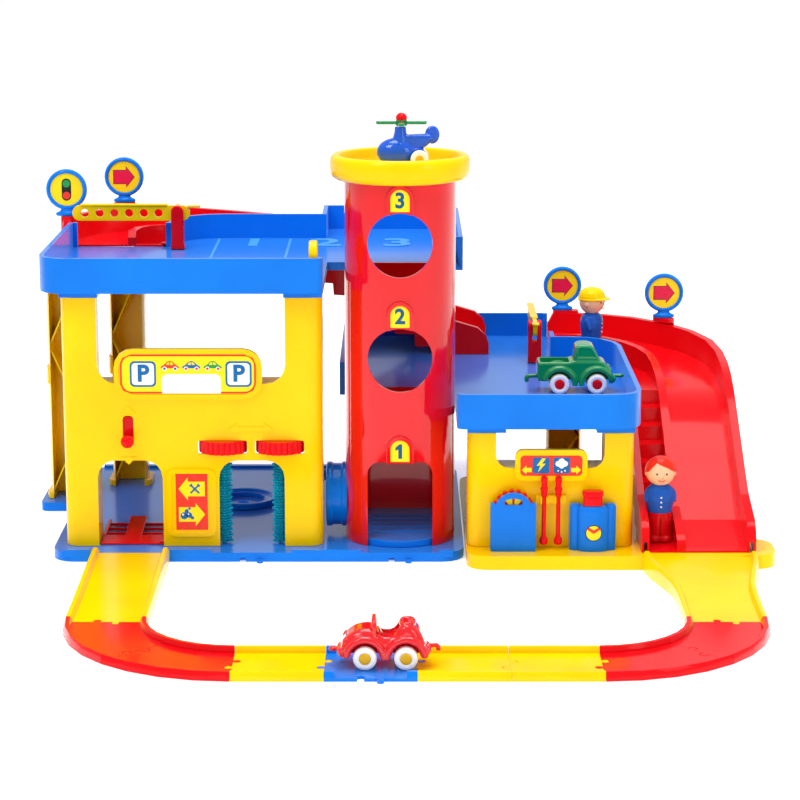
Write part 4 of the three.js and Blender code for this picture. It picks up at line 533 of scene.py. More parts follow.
def carved(piece, *tools):
    """Cuts tools out of a piece."""
    for tool in tools:
        apply_modifier(piece, "BOOLEAN", operation="DIFFERENCE", solver="EXACT", object=tool)
        bpy.data.objects.remove(tool)
    return piece


def fused(piece, *others):
    """Fuses other pieces into a piece."""
    for other in others:
        apply_modifier(piece, "BOOLEAN", operation="UNION", solver="EXACT", object=other)
        bpy.data.objects.remove(other)
    return piece


tall = TOWER_TOP - TOWER_LOW
tower = traced("lift_tower_shaft", shaft_outline(TOWER_RADIUS, TOWER_BACK), tall, (0, 0, TOWER_LOW))
for z in PLAQUE_FEET:
    rim = traced("plaque_rim", archway(-14.6, z - 2, 14.6, z + 29, 14.5), 24, (TOWER[0], -2, 0), FRONT)
    finish(rim, None, 1.2, 3)
    hollow = traced("plaque_face", archway(-10.4, z - 1, 10.4, z + 25, 10.3), 4, (TOWER[0], -24.6, 0), FRONT)
    fused(tower, carved(rim, hollow))
inside = shaft_outline(TOWER_RADIUS - TOWER_WALL, TOWER_BACK - TOWER_WALL)
carved(tower, traced("shaft_bore", inside, tall + 20))
for z in WINDOWS:
    window = [(WINDOW_RADIUS, 0), (WINDOW_RADIUS, 80)]
    carved(tower, turned("window_cutter", window, (*TOWER, z), FRONT, 96))
carved(tower, traced("door_cutter", archway(-34.5, 0, 34.5, DOORWAY_TOP, 15), 80, (*TOWER, 0), FRONT))
for floor in (MIDDLE_FLOOR, UPPER_FLOOR):
    doorway = archway(-48, floor, 48, floor + 70, 15)
    carved(tower, traced("deck_door", doorway, 12, (TOWER[0], TOWER_BACK + 4, 0), FRONT))
stand_in(finish(tower, TOWER_RED, 0.7, 2), "lift_tower")

for number, z in enumerate(PLAQUE_FEET, 1):
    flagged_one = [(-1.8, 4.8), (2.2, 4.8), (2.2, 20.4), (-0.8, 20.4), (-4.8, 16.8), (-4.8, 13.4), (-1.8, 15)]
    face = [
        print_shape(archway(-10, 1.5, 10, 24.4, 9.9), INK_YELLOW, 1),
        print_shape(flagged_one, INK_TEAL, 2) if number == 1
        else print_text(str(number), 22, INK_TEAL, 2, 0, 12.6, swell=0.7),
    ]
    sticker(f"floor_number_{number}", face, (TOWER[0], -24.62, z))

pad = turned(
    "landing_pad_dish",
    [(1, 404.4), (60.4, 404.4), (60.6, 398.3), (63, 398), (69, 399.4), (72.2, 402), (73.6, 406), (74, 411),
     (74, 415), (73.5, 419.5), (72, 422.8), (69.6, 424.3), (67, 424.5), (64.6, 423.6), (63.2, 421.4),
     (62.6, 417), (62, 412.6), (60.4, 410.7), (57.5, 410), (2, 410)],
    (*TOWER, 0), sides=128,
)
carved(pad, traced("pad_tail", [(-60.4, 0), (60.4, 0), (60.4, 92), (-60.4, 92)], 8.4, (*TOWER, 396)))
stand_in(finish(pad, YELLOW, 0), "landing_pad")
moulding("lift_platform", edge=0.6)

crank = turned(
    "winding_wheel",
    [(18, -5.4), (33.6, -5.4), (34.7, -4.8), (35, -3.8), (35, 0.4), (33.5, 1.6), (33.5, 10.8), (35, 12),
     (35, 16.4), (34.7, 17.3), (33.6, 17.8), (22, 17.8)],
    (-67.3, 52, 52), RIGHT, 96,
)
grip = turned(
    "winding_grip", [(5, 0), (5.6, -0.8), (6.2, -2), (6.2, -3), (5, -3.6)], (-72.5, 52, 73), RIGHT, 32
)
stand_in(finish(joined("winding_wheel", [crank, grip]), BLUE, 0.6, 2), "lift_crank")

# Slide ramps and road loop: the red slides have a smooth lane, a rail and moulded stairs between hollow
# walls. The road is a loop of ABS pieces that join by puzzle tongues, red at the corners.

# Red ABS: a full, warm red whose edges and rims catch thin white lights.
RED = moulded_plastic("abs_moulded_red", "#E80C16", "#DE0812", sheen=0.16)
PLASTIC_OF_SLOT["red_plastic"] = RED
for node in ("upper_ramp", "lower_ramp"):
    moulding(node, edge=1.3)
for node in frame["nodes"]:
    if node.startswith("road_"):
        moulding(node, edge=1.2, whole=False)

# Barriers: each red ABS post is a fork of two round-topped cheeks on a solid foot, and a yellow boom swings
# between them: a web with six holes, a stiffening flange along its top and a thumb tab behind the pin.
PIVOT = 41
BOOM_TIP, BOOM_TAIL, BOOM_HALF = -119, 14, 8.75


def barrier(name, place, turn):
    """A post and its boom, drawn at the pin's foot and then set in place."""
    cheek = (
        [(-7.8, 0), (7.8, 0), (7.8, 4), (7, 6), (7, 43)] + arc(0, 43, 7, 0, 180, 16)
        + [(-7, 43), (-7, 6), (-7.8, 4)]
    )
    foot = traced(name + "_post_fork", cheek, 15.6, (0, 7.8, 0), FRONT)
    slot = traced("slot", [(-12, 26), (12, 26), (12, 60), (-12, 60)], 5.6, (0, 2.8, 0), FRONT)
    post = finish(carved(foot, slot), RED, 1.5, 4)
    pin = finish(turned("pin", [(3.6, -8), (3.6, 8)], (0, 0, PIVOT), FRONT, 32), RED, 0)
    stand_in(place_on(joined(name + "_post_fork", [post, pin]), place, (0, 0, turn)), name + "_post")
    bar = rounded_box(BOOM_TIP, -BOOM_HALF, BOOM_TAIL, BOOM_HALF, 8.4, 10)
    web = traced("web", bar, 5, (0, 2.5, PIVOT), FRONT)
    for i in range(6):
        hole_x = BOOM_TIP + 14 + 16.7 * i
        carved(web, turned("hole", [(4.6, -6), (4.6, 6)], (hole_x, 0, PIVOT), FRONT, 32))
    carved(web, turned("bore", [(3.9, -6), (3.9, 6)], (0, 0, PIVOT), FRONT, 32))
    top = PIVOT + BOOM_HALF
    flange = traced("flange", rounded_box(BOOM_TIP + 9, -4.2, -11, 4.2, 3), 2.2, (0, 0, top - 0.6))
    tab = traced("tab", rounded_box(11, -4.2, 26, 4.2, 3), 2.2, (0, 0, top - 2.2))
    boom = joined(name + "_boom_bar", [finish(part, YELLOW, 0.7) for part in (web, flange, tab)])
    stand_in(place_on(boom, place, (0, 0, turn)), name + "_boom")


barrier("upper_barrier", (-245, 223, UPPER_FLOOR + 0.3), 0)
barrier("lower_barrier", (163.5, 266, MIDDLE_FLOOR + 0.3), -90)

# Road signs: a thick ring of blue ABS on a short waisted foot, which stands loose on a block of a ramp.
# Both sides of its disc carry a printed vinyl face, three of them an arrow and one a traffic light.
SIGN_FACE, SIGN_DISC = 30, 18.5
# Three more inks of the same satin vinyl.
INK_CRIMSON = printed_vinyl("printed_vinyl_crimson", "#E21A4A")
INK_NAVY = printed_vinyl("printed_vinyl_navy", "#253050")
INK_BLACK = printed_vinyl("printed_vinyl_black", "#1D1B22")
SIGN_PLACES = {
    "signal_sign": (-375, 259.7, 328.3),
    "upper_arrow_sign": (-322, 378.8, 328.3),
    "entry_arrow_sign": (206, 431.7, 188.3),
    "lower_arrow_sign": (325, 378.8, 188.3),
}
for node, (x, y, z) in SIGN_PLACES.items():
    foot = turned(
        node + "_foot",
        [(12, 0), (12.8, 0.7), (12.9, 2.6), (12.2, 3.6), (9, 4.8), (7.4, 6), (7, 7.4), (8, 10)], sides=48,
        flatten=0.5,
    )
    face = turned(
        node + "_frame",
        [(18.6, -1.5), (18.8, -2.6), (19.6, -3.6), (21, -4), (22.4, -3.4), (23.3, -1.8), (23.5, 0),
         (23.3, 1.8), (22.4, 3.4), (21, 4), (19.6, 3.6), (18.8, 2.6), (18.6, 1.5)],
        (0, 0, SIGN_FACE), FRONT, 72,
    )
    stand_in(place_on(finish(fused(face, foot), BLUE, 0), (x, y, z)), node)
    for side, turn in ((1, 0), (-1, 180)):
        prints = [print_dot(0, 0, SIGN_DISC, INK_YELLOW, 1, 64)]
        if node == "signal_sign":
            pill = arc(0, 7.4, 5.4, 0, 180) + arc(0, -7.4, 5.4, 180, 360)
            prints.append(print_shape(pill, INK_BLACK, 2))
            prints.append(print_dot(0, 6.8, 4.3, INK_GREEN, 3))
            prints.append(print_dot(0, -6.8, 4.3, INK_RED, 3))
        else:
            prints.append(print_shape(arrow(25.8, 25.8, 17, 10.6), INK_NAVY, 2))
            prints.append(print_shape(arrow(24.2, 23.6, 15.4, 9.8), INK_CRIMSON, 3))
        name = f"{node}_print_{'back' if turn else 'front'}"
        sticker(name, prints, (x, y - 1.5 * side, z + SIGN_FACE), (90, 0, turn), BODY_OF[node])

# Car wash: two teal nylon brushes hang from red fluted thumb wheels that show in the wall's slots. Each
# brush is a moulded core with rows of stiff bristles, and a thumb wheel of ABS is pressed on its top.
WASH_ROLLERS = ((-181, 3.5), (-120.5, 3.5))
BRUSH_LOW, THUMB_WHEEL_LOW, FLUTE_STEPS = 10.6, 111.5, 6
# Teal nylon: satin and uncoated, its tone changing every few bristles, so the tufts look soft.
TEAL = moulded_plastic(
    "nylon_bristle_teal", "#14B2CE", "#0F9DBE", roughness=0.38, flow_mm=12, coat=0.0
)


def fluted(radius, depth, count):
    """Outline of a thumb wheel with round flutes between its grips."""
    total = count * FLUTE_STEPS
    points = []
    for i in range(total):
        angle = 2 * math.pi * i / total
        reach = radius - depth * (1 - abs(math.cos(angle * count / 2)) ** 0.7)
        points.append((reach * math.cos(angle), reach * math.sin(angle)))
    return points


def twin(piece, name):
    """A second piece of the same shape, with a mesh of its own."""
    copied = piece.copy()
    copied.data = piece.data.copy()
    copied.name = name
    bpy.context.scene.collection.objects.link(copied)
    return copied


thumb_wheel = finish(traced("wash_wheel_1", fluted(26, 1.9, 24), 14), RED, 0.5, 2)
cap = turned("wash_wheel_cap", [(7, 13), (7, 14.2), (6.4, 14.6), (4.2, 14.8), (4, 18)], sides=48)
joined("wash_wheel_1", [thumb_wheel, finish(cap, RED, 0)])
core = finish(turned("wash_core", [(2.6, 0), (3.4, 1), (3.4, 88.6), (2.6, 89.6)], sides=32), TEAL, 0)
BRISTLE_ROWS, BRISTLES_ROUND, BRISTLE_PITCH = 15, 13, 6
tufts = []
# Rows of long bristles with rows of short ones between them, all a little out of line.
for shift in (0, 1):
    middle = ((6.1 - shift * 0.9) * MM, 0, (2.2 + shift * BRISTLE_PITCH / 2) * MM)
    bristle = start(
        "wash_bristle", bpy.ops.mesh.primitive_cone_add, vertices=5, radius1=1 * MM, radius2=0.6 * MM,
        depth=(6.6 - shift * 1.8) * MM, location=middle, rotation=(0, math.pi / 2, 0),
    )
    bpy.ops.object.mode_set(mode="OBJECT")
    select_only(bristle)
    bpy.ops.object.transform_apply(location=True, rotation=True)
    apply_modifier(
        bristle, "ARRAY", count=BRISTLE_ROWS - shift, use_relative_offset=False, use_constant_offset=True,
        constant_offset_displace=(0, 0, BRISTLE_PITCH * MM),
    )
    bpy.ops.object.mode_set(mode="EDIT")
    bpy.ops.mesh.select_all(action="SELECT")
    bpy.ops.mesh.spin(
        steps=BRISTLES_ROUND, dupli=True, angle=2 * math.pi, center=(0, 0, 0), axis=(0, 0, 1),
        use_auto_merge=False,
    )
    bpy.ops.mesh.select_all(action="SELECT")
    bpy.ops.transform.vertex_random(offset=0.35 * MM, seed=7 + shift)
    bpy.ops.object.mode_set(mode="OBJECT")
    place_on(bristle, (0, 0, 0), (0, 0, shift * 180 / BRISTLES_ROUND))
    bristle.data.materials.append(TEAL)
    tufts.append(bristle)
brush = joined("wash_brush_bristles_1", [core] + tufts)
rollers = [
    (thumb_wheel, brush),
    (twin(thumb_wheel, "wash_wheel_2"), twin(brush, "wash_brush_bristles_2")),
]
for i, ((wheel, roller), (x, y)) in enumerate(zip(rollers, WASH_ROLLERS), 1):
    stand_in(place_on(wheel, (x, y, THUMB_WHEEL_LOW)), f"wash_thumb_wheel_{i}")
    stand_in(place_on(roller, (x, y, BRUSH_LOW)), f"wash_brush_{i}")

# Car lift: a red ABS tray with a ramped lip, a raised beam along its middle and two rails joined by cross
# ribs. A flat arm climbs behind the wall to the lever slot, where a stem with a ball handle comes out.
LIFT_LEFT, LIFT_RIGHT, LIFT_LOW, LIFT_BACK = -312.8, -246.2, 10.4, 72
HANDLE_Z, HANDLE_RADIUS = 127, 7
lip = [(-6, LIFT_LOW), (18, LIFT_LOW), (18, 14.2), (16.6, 15), (14, 14.8), (-5.4, 12), (-6, 11.4)]
beam = [(-4, 10.8), (14, 10.8), (14, 12), (LIFT_BACK, 12), (LIFT_BACK, 21), (70.6, 22), (68, 21.8),
        (18, 16.6), (-3.4, 12.4)]
lift_parts = [
    traced("lip", lip, LIFT_RIGHT - LIFT_LEFT, (LIFT_LEFT, 0, 0), RIGHT),
    traced("beam", beam, 18, (-289, 0, 0), RIGHT),
]
for x in (LIFT_LEFT, LIFT_RIGHT - 3):
    rail = [(12, LIFT_LOW), (LIFT_BACK, LIFT_LOW), (LIFT_BACK, 17), (70, 18.4), (16, 16.2), (12, 14.4)]
    lift_parts.append(traced("rail", rail, 3, (x, 0, 0), RIGHT))
for y in (30, 50, 69.5):
    left, right = LIFT_LEFT + 1, LIFT_RIGHT - 1
    rib = [(left, LIFT_LOW), (right, LIFT_LOW), (right, 13.8), (left, 13.8)]
    lift_parts.append(traced("rib", rib, 2.4, (0, y + 2.4, 0), FRONT))
arm = [(LIFT_RIGHT - 4, LIFT_LOW), (-237.8, LIFT_LOW), (-237.8, 150.5), (-287.5, 150.5), (-287.5, 124),
       (-243.8, 124), (-243.8, 14), (LIFT_RIGHT - 4, 14)]
lift_parts.append(traced("arm", arm, 4, (0, -1.6, 0), FRONT))
lift_parts = [finish(part, RED, 0.6) for part in lift_parts]
stem = turned("stem", [(3.4, 0), (3.4, 8), (2.9, 10), (2.9, 16)], (LEVER_X, -4.8, HANDLE_Z), FRONT, 32)


def ball(name, radii, place, segments, rings):
    """A ball or an egg with its radii in mm along x, y and z."""
    piece = start(name, bpy.ops.mesh.primitive_uv_sphere_add, segments=segments, ring_count=rings, radius=MM)
    bpy.ops.transform.resize(value=radii)
    bpy.ops.object.mode_set(mode="OBJECT")
    return place_on(piece, place)


handle = ball(
    "knob", (HANDLE_RADIUS, 0.96 * HANDLE_RADIUS, HANDLE_RADIUS), (LEVER_X, -22.2, HANDLE_Z), 40, 24
)
lift_parts += [finish(stem, RED, 0), finish(handle, RED, 0)]
stand_in(joined("car_lift_tray", lift_parts), "car_lift")

# Roadster: a chunky open toy car, one thick moulding of polished ABS with round wheel arches. It rides on
# white vinyl tyres with pressed-in gold hubs, a pair on each axle.
TYRE_RADIUS, TYRE_WIDTH, HUB_RADIUS, TRACK = 11, 9, 5.6, 42
# White vinyl: the tyres are soft and satin, and their edges glow a little.
WHITE = moulded_plastic("vinyl_tyre_white", "#FAF9F7", "#F0EEEB", roughness=0.3, coat=0.1, glow=0.1)
# Polished red ABS: sharp white lights run along the body's round edges.
CAR_RED = moulded_plastic("abs_polished_red", "#E2121C", "#D80C16", roughness=0.1, coat=1.0, sheen=0.15)
# Gold ABS: a flat, unmetallic gold.
GOLD = moulded_plastic("abs_hub_gold", "#E6B422", "#DCA81C", roughness=0.25)


def wheel_pair(name, place, hub_plastic):
    """Two tyres with round shoulders and domed hubs on one axle, for the node of the same name."""
    radius, width, hub = TYRE_RADIUS, TYRE_WIDTH, HUB_RADIUS
    parts = []
    for side in (-1, 1):
        tyre = turned(
            "tyre",
            [(radius - 4.6, 0), (radius - 1.6, 0.3), (radius - 0.4, 1.3), (radius, 3), (radius, width - 3),
             (radius - 0.5, width - 1.2), (radius - 1.8, width - 0.2), (radius - 3.2, width),
             (hub + 0.5, width - 0.5), (hub, width - 1.2)],
            (0, (TRACK / 2 - width) * side, 0), (-90 * side, 0, 0), 64,
        )
        cap = turned(
            "hub",
            [(hub - 0.2, width - 2), (hub - 0.2, width - 0.9), (hub - 1, width - 0.3),
             (hub - 2.4, width - 0.1), (1, width)],
            (0, (TRACK / 2 - width) * side, 0), (-90 * side, 0, 0), 40,
        )
        parts += [finish(tyre, WHITE, 0), finish(cap, hub_plastic, 0)]
    axle = turned("axle", [(1.9, 1), (1.9, TRACK - 1)], (0, TRACK / 2, 0), FRONT, 24)
    parts.append(finish(axle, WHITE, 0))
    stand_in(place_on(joined(name + "_pair", parts), place), name)


def tube(name, route, radius, closed=False):
    """A round rod bent along a smooth route of points in mm, made a mesh."""
    line = bpy.data.curves.new(name, "CURVE")
    line.dimensions = "3D"
    spline = line.splines.new("NURBS")
    spline.points.add(len(route) - 1)
    for point, (x, y, z) in zip(spline.points, route):
        point.co = (x * MM, y * MM, z * MM, 1)
    spline.use_endpoint_u = not closed
    spline.use_cyclic_u = closed
    spline.order_u = 3
    spline.resolution_u = 8
    line.bevel_depth = radius * MM
    line.bevel_resolution = 5
    line.use_fill_caps = True
    piece = bpy.data.objects.new(name, line)
    bpy.context.scene.collection.objects.link(piece)
    select_only(piece)
    bpy.ops.object.convert(target="MESH")
    merged(piece)
    bpy.ops.object.mode_set(mode="EDIT")
    bpy.ops.mesh.normals_make_consistent(inside=False)
    bpy.ops.object.mode_set(mode="OBJECT")
    return piece


def eased(points):
    """A line of points in mm with its corners cut to a smooth curve, its two ends kept."""
    for _ in range(2):
        cut = [points[0]]
        for (x, z), (next_x, next_z) in zip(points, points[1:]):
            cut.append((x * 0.75 + next_x * 0.25, z * 0.75 + next_z * 0.25))
            cut.append((x * 0.25 + next_x * 0.75, z * 0.25 + next_z * 0.75))
        points = cut + [points[-1]]
    return points


def pick_edges(piece, test):
    """In edit mode, selects only the edges whose middle in mm passes a test."""
    bpy.ops.mesh.select_mode(type="EDGE")
    bpy.ops.mesh.select_all(action="DESELECT")
    bpy.ops.object.mode_set(mode="OBJECT")
    for edge in piece.data.edges:
        first, last = [piece.data.vertices[i].co for i in edge.vertices]
        edge.select = test((first + last) / (2 * MM))
    bpy.ops.object.mode_set(mode="EDIT")


def car_side(outline, half, round_over, above=20):
    """A body drawn from its side, thickened to both sides of its middle plane, its upper rims rolled over."""
    piece = traced("car_side", outline, half * 2, (0, half, 0), FRONT)
    select_only(piece)
    bpy.ops.object.mode_set(mode="EDIT")
    pick_edges(piece, lambda middle: abs(middle.y) > half - 0.01 and middle.z > above)
    bpy.ops.mesh.bevel(offset=round_over * MM, segments=6, affect="EDGES", clamp_overlap=False)
    bpy.ops.object.mode_set(mode="OBJECT")
    return piece


def soft_moulding(name, parts, voxel_mm=0.55, passes=7):
    """Melts parts to one skin with soft outer edges and filled inner corners, as a thick moulding has."""
    piece = joined(name, parts)
    apply_modifier(piece, "REMESH", mode="VOXEL", voxel_size=voxel_mm * MM, use_smooth_shade=True)
    apply_modifier(piece, "SMOOTH", factor=0.5, iterations=passes)
    return piece


WELL, AXLE_Z = 13.2, 14.3


def keel(rear, front, low, high, axles):
    """The middle of a car between its wheels, with a running bore for each axle."""
    outline = [(rear, high), (front, high), (front, low), (rear, low)]
    bores = [turned("bore", [(2.7, -12), (2.7, 12)], (x, 0, AXLE_Z), FRONT, 32) for x in axles]
    return carved(traced("keel", outline, 20, (0, 10, 0), FRONT), *bores)


def wheel_arch(x, z, reach, roll, half, first, last):
    """A round arch over a wheel pair: a shell across the car that ends in a thick roll on each side."""
    outline = arc(x, z, reach, first, last, 20) + arc(x, z, reach - roll * 1.4, last, first, 20)
    pieces = [traced("wheel_arch", outline, half * 2, (0, half, 0), FRONT)]
    for y in (-half, half):
        route = [(px, y, pz) for px, pz in arc(x, z, reach - roll, first, last, 14)]
        pieces.append(tube("arch_roll", route, roll))
    return pieces


ROADSTER_Y = -392
FRONT_AXLE, REAR_AXLE = -25, 12.5
roadster_line = (
    eased([(-46.4, 15), (-47.6, 19), (-46.8, 25), (-43.4, 31.4), (-38, 36.6), (-31, 39.8), (-23.6, 40.8),
           (-17.4, 40), (-13.6, 36.4), (-8, 33.8), (-1.6, 33.8), (3.4, 37.2), (5.8, 42.6), (11, 45.6),
           (17, 44.8), (22.8, 40.6), (27.4, 34), (30.6, 26), (31.8, 19), (30.8, 15)])
    + arc(REAR_AXLE, AXLE_Z, WELL, 4, 172, 16)
    + arc(FRONT_AXLE, AXLE_Z, WELL, 8, 176, 16)
)
roadster = car_side(roadster_line, 17, 8)
carved(roadster, traced("seat_hole", rounded_box(-12.5, -11.8, 7.4, 11.8, 5), 40, (0, 0, 28.6), UP))
parts = [keel(-44, 28, 17, 30, (FRONT_AXLE, REAR_AXLE))]
parts += wheel_arch(FRONT_AXLE, AXLE_Z, 20.4, 3, 17.4, -4, 178)
parts += wheel_arch(REAR_AXLE, AXLE_Z, 20.4, 3, 17.4, 2, 184)
for end, x in ((-1, -45), (1, 29.6)):
    reach = x + end * 3
    sweep = [(x, -17, 18), (reach, -12, 18.6), (x + end * 3.8, 0, 19), (reach, 12, 18.6), (x, 17, 18)]
    parts.append(tube("bumper", sweep, 3))
windscreen_hoop = [(-16.4, -13.8, 34), (-16.6, -13.8, 42), (-16.8, -12.6, 45.6), (-17, -7, 46.8),
                   (-17, 0, 47), (-17, 7, 46.8), (-16.8, 12.6, 45.6), (-16.6, 13.8, 42), (-16.4, 13.8, 34)]
seat_back_ring = [(8.6, -8, 43.6), (12, -10.6, 44.6), (18, -9.4, 44.4), (20.6, 0, 44), (18, 9.4, 44.4),
                  (12, 10.6, 44.6), (8.6, 8, 43.6), (7.6, 0, 43.2)]
front_hook = [(-46, 0, 18.6), (-52, 0, 18.4), (-55, -3, 18.2), (-57, 0, 18.2), (-55, 3, 18.2), (-52, 0, 18.4)]
rear_hook = [(30, 0, 20.6), (36, 0, 21.4), (40.6, 0, 21.6), (42.6, 0, 19.6), (42.2, 0, 16.4)]
parts += [
    tube("windscreen_hoop", windscreen_hoop, 2.5), tube("seat_back_ring", seat_back_ring, 2, closed=True),
    tube("front_hook", front_hook, 1.9), tube("rear_hook", rear_hook, 2.2),
]
for y in (-10.5, 10.5):
    lamp = [(4.2, -3), (4.2, 1.2), (3.2, 2.6), (1, 3.2)]
    parts.append(turned("head_lamp", lamp, (-42.4, y, 28.6), (0, -60, 0), 32))
steering_wheel = [(4.6, 0), (5.4, 0.9), (4.6, 1.8), (2, 1.4)]
parts.append(turned("dash_wheel", steering_wheel, (-11.6, -5, 36.6), (0, 62, 0), 32))
roadster = finish(soft_moulding("roadster_shell", [roadster] + parts), CAR_RED, 0)
stand_in(place_on(roadster, (0, ROADSTER_Y, 0)), "roadster_body")
wheel_pair("roadster_wheels_1", (FRONT_AXLE, ROADSTER_Y, AXLE_Z), GOLD)
wheel_pair("roadster_wheels_2", (REAR_AXLE, ROADSTER_Y, AXLE_Z), GOLD)

# Pickup: a tow truck in one thick moulding of polished ABS. It has a closed cab with a sunk window on each
# side, an open bed, a tow hook behind and a ring in front, and the roadster's tyres on red hubs.
TRUCK = (0, 105, 152)
BED_AXLE, CAB_AXLE = 181.6, 222.6
# Polished green ABS: deep and glossy, with the same sharp lights as on the red car.
CAR_GREEN = moulded_plastic(
    "abs_polished_green", "#04904F", "#038446", roughness=0.1, coat=1.0, sheen=0.15
)
truck_line = (
    [(158.8, 17.4), (157.4, 19.6), (157.2, 24), (157.2, 34.6), (158.4, 37.4), (161, 38.2), (192, 38.2),
     (196, 39.6)]
    + eased([(200, 39.8), (225, 39.8), (231, 37.8), (236, 31.6), (240, 24.4), (242.2, 18.6), (241, 15.6)])
    + arc(CAB_AXLE, AXLE_Z, WELL, 4, 172, 16)
    + arc(BED_AXLE, AXLE_Z, WELL, 8, 168, 16)
)
truck = car_side(truck_line, 17, 2.4)
carved(truck, traced("bed_hole", rounded_box(161, -13.4, 192, 13.4, 3), 30, (0, 0, 29.5), UP))
cab_line = (
    [(196.4, 36)]
    + eased([(196.6, 40), (197, 48), (199, 55.6), (205, 57.4), (213, 57.2), (218.4, 55.4), (223, 46),
             (227.4, 38)])
    + [(228, 36)]
)
cab = car_side(cab_line, 15.6, 3, 38)
for y in (16.8, -14.6):
    pane = [(200.8, 43), (221.4, 43), (216.6, 51.8), (214.6, 53.4), (204, 53.4), (201.8, 51.8)]
    carved(cab, traced("pane", pane, 2.2, (0, y, 0), FRONT))
parts = [keel(160, 238, 18, 29, (BED_AXLE, CAB_AXLE))]
parts += wheel_arch(BED_AXLE, AXLE_Z, 19.8, 2.9, 17.6, -6, 166)
parts += wheel_arch(CAB_AXLE, AXLE_Z, 19.8, 2.9, 17.6, 14, 186)
bumper = [(237.6, -17, 17.4), (241, -11, 17.8), (242, 0, 17.8), (241, 11, 17.8), (237.6, 17, 17.4)]
tow_hook = [(160, 0, 20.4), (151, 0, 20), (146.4, 0, 19.4), (145.8, 0, 16), (147.2, 0, 13.4)]
tow_ring = [(239, 0, 20.6), (245, 0, 20.6), (249.6, -3, 20.4), (252, 0, 20.4), (249.6, 3, 20.4),
            (245, 0, 20.6)]
parts += [tube("truck_bumper", bumper, 3), tube("tow_hook", tow_hook, 2.3), tube("tow_ring", tow_ring, 1.9)]
for y in (-10.5, 10.5):
    lamp = [(3.6, -3), (3.6, 1.2), (2.6, 2.4), (1, 2.8)]
    parts.append(turned("truck_lamp", lamp, (236.4, y, 28), (0, 62, 0), 32))
truck = finish(soft_moulding("pickup_shell", [truck, cab] + parts), CAR_GREEN, 0)
stand_in(place_on(truck, TRUCK), "tow_truck_body")
wheel_pair("tow_truck_wheels_1", (BED_AXLE, TRUCK[1], TRUCK[2] + AXLE_Z), RED)
wheel_pair("tow_truck_wheels_2", (CAB_AXLE, TRUCK[1], TRUCK[2] + AXLE_Z), RED)

# Helicopter: a blue egg-shaped cabin of polished ABS, drawn out to a tail with a round fin and a tapered
# mast. It has white vinyl wheels with gold hubs, and a green rotor of four blades under a red ball turns
# on its mast.
HELI = (0, 37, 0)
ROTOR_X, HELI_WHEEL = 8.5, (27.5, 10.6, 420)
# Polished deep blue ABS: darker than the decks, with small sharp lights.
DEEP_BLUE = moulded_plastic(
    "abs_polished_deep_blue", "#0B5ADB", "#084FCE", roughness=0.1, coat=1.0, sheen=0.2
)
cabin = ball("cabin", (21, 13.4, 15.2), (3.4, 0, 426), 48, 28)
belly = traced("belly", rounded_box(-9, -10, 18, 10, 8), 10, (0, 0, 411.4), UP)
tail = car_side(
    [(4, 424)] + eased([(12, 425), (24, 427.4), (32, 430.6), (38, 435), (42, 441), (40, 445), (30, 445.4),
                       (18, 444.8), (4, 444)]), 6, 3.4, 0,
)
fin = turned(
    "fin", [(5.8, -2.6), (7.3, -1.6), (7.8, 0), (7.3, 1.6), (5.8, 2.6)], (40.9, 0, 444.4), FRONT, 48,
    flatten=1.24,
)
mast = turned("mast", [(9.4, 434), (8.2, 440), (6.4, 447), (5.9, 452.4), (5, 453)], (7.4, 0, 0), UP, 48)
axle_block = traced("axle_block", rounded_box(20, -9, 32, 9, 4), 12, (0, 0, 418), UP)
skid = tube("nose_skid", [(-9, -5, 414), (-12, -5, 412.4), (-12, 5, 412.4), (-9, 5, 414)], 1.8)
shell = soft_moulding("helicopter_shell", [cabin, belly, tail, fin, mast, axle_block, skid], 0.5, 6)
finish(shell, DEEP_BLUE, 0)
wheels = []
for side in (-1, 1):
    place, turns = (HELI_WHEEL[0], HELI_WHEEL[1] * side, HELI_WHEEL[2]), (-90 * side, 0, 0)
    tyre_line = [(5, 0), (8.6, 0.3), (9.4, 1.6), (9.6, 3.4), (9.2, 5.2), (8, 6.2), (5, 6.4)]
    hub_line = [(4.4, 5.8), (4.4, 6.6), (3, 7.1), (1, 7.2)]
    wheels.append(finish(turned("wheel", tyre_line, place, turns, 48), WHITE, 0))
    wheels.append(finish(turned("wheel_hub", hub_line, place, turns, 32), GOLD, 0))
stand_in(place_on(joined("helicopter_shell", [shell] + wheels), HELI), "helicopter_body")

# Green ABS: the rotor's boss is duller than its polished blades.
GREEN = moulded_plastic("abs_moulded_green", "#05824A", "#047A42")
blade_line = [(0, -2.6), (5, -2.8), (23.6, -3.4), (26, -2.6), (27, 0), (26, 2.6), (23.6, 3.4), (5, 2.8),
              (0, 2.4)]
rotor = []
for turn in (0, 90, 180, 270):
    blade = traced("blade", blade_line, 3.4, (ROTOR_X, 0, 455.4), (0, 0, turn))
    rotor.append(finish(blade, CAR_GREEN, 1.3, 4))
boss = [(5.6, 454), (6, 454.6), (6, 459), (5.2, 460), (3, 460.2)]
rotor.append(finish(turned("rotor_boss", boss, (ROTOR_X, 0, 0), UP, 40), GREEN, 0))
rotor.append(finish(ball("rotor_knob", (5.9, 5.9, 5.546), (ROTOR_X, 0, 462), 40, 24), RED, 0))
stand_in(place_on(joined("rotor_blades", rotor), HELI), "helicopter_rotor")

# Play figures: two soft vinyl dolls of one body, a worker in a yellow cap and a driver with red hair.
# Head, shirt and legs are round mouldings pressed together; eyes, mouth and buttons are printed.

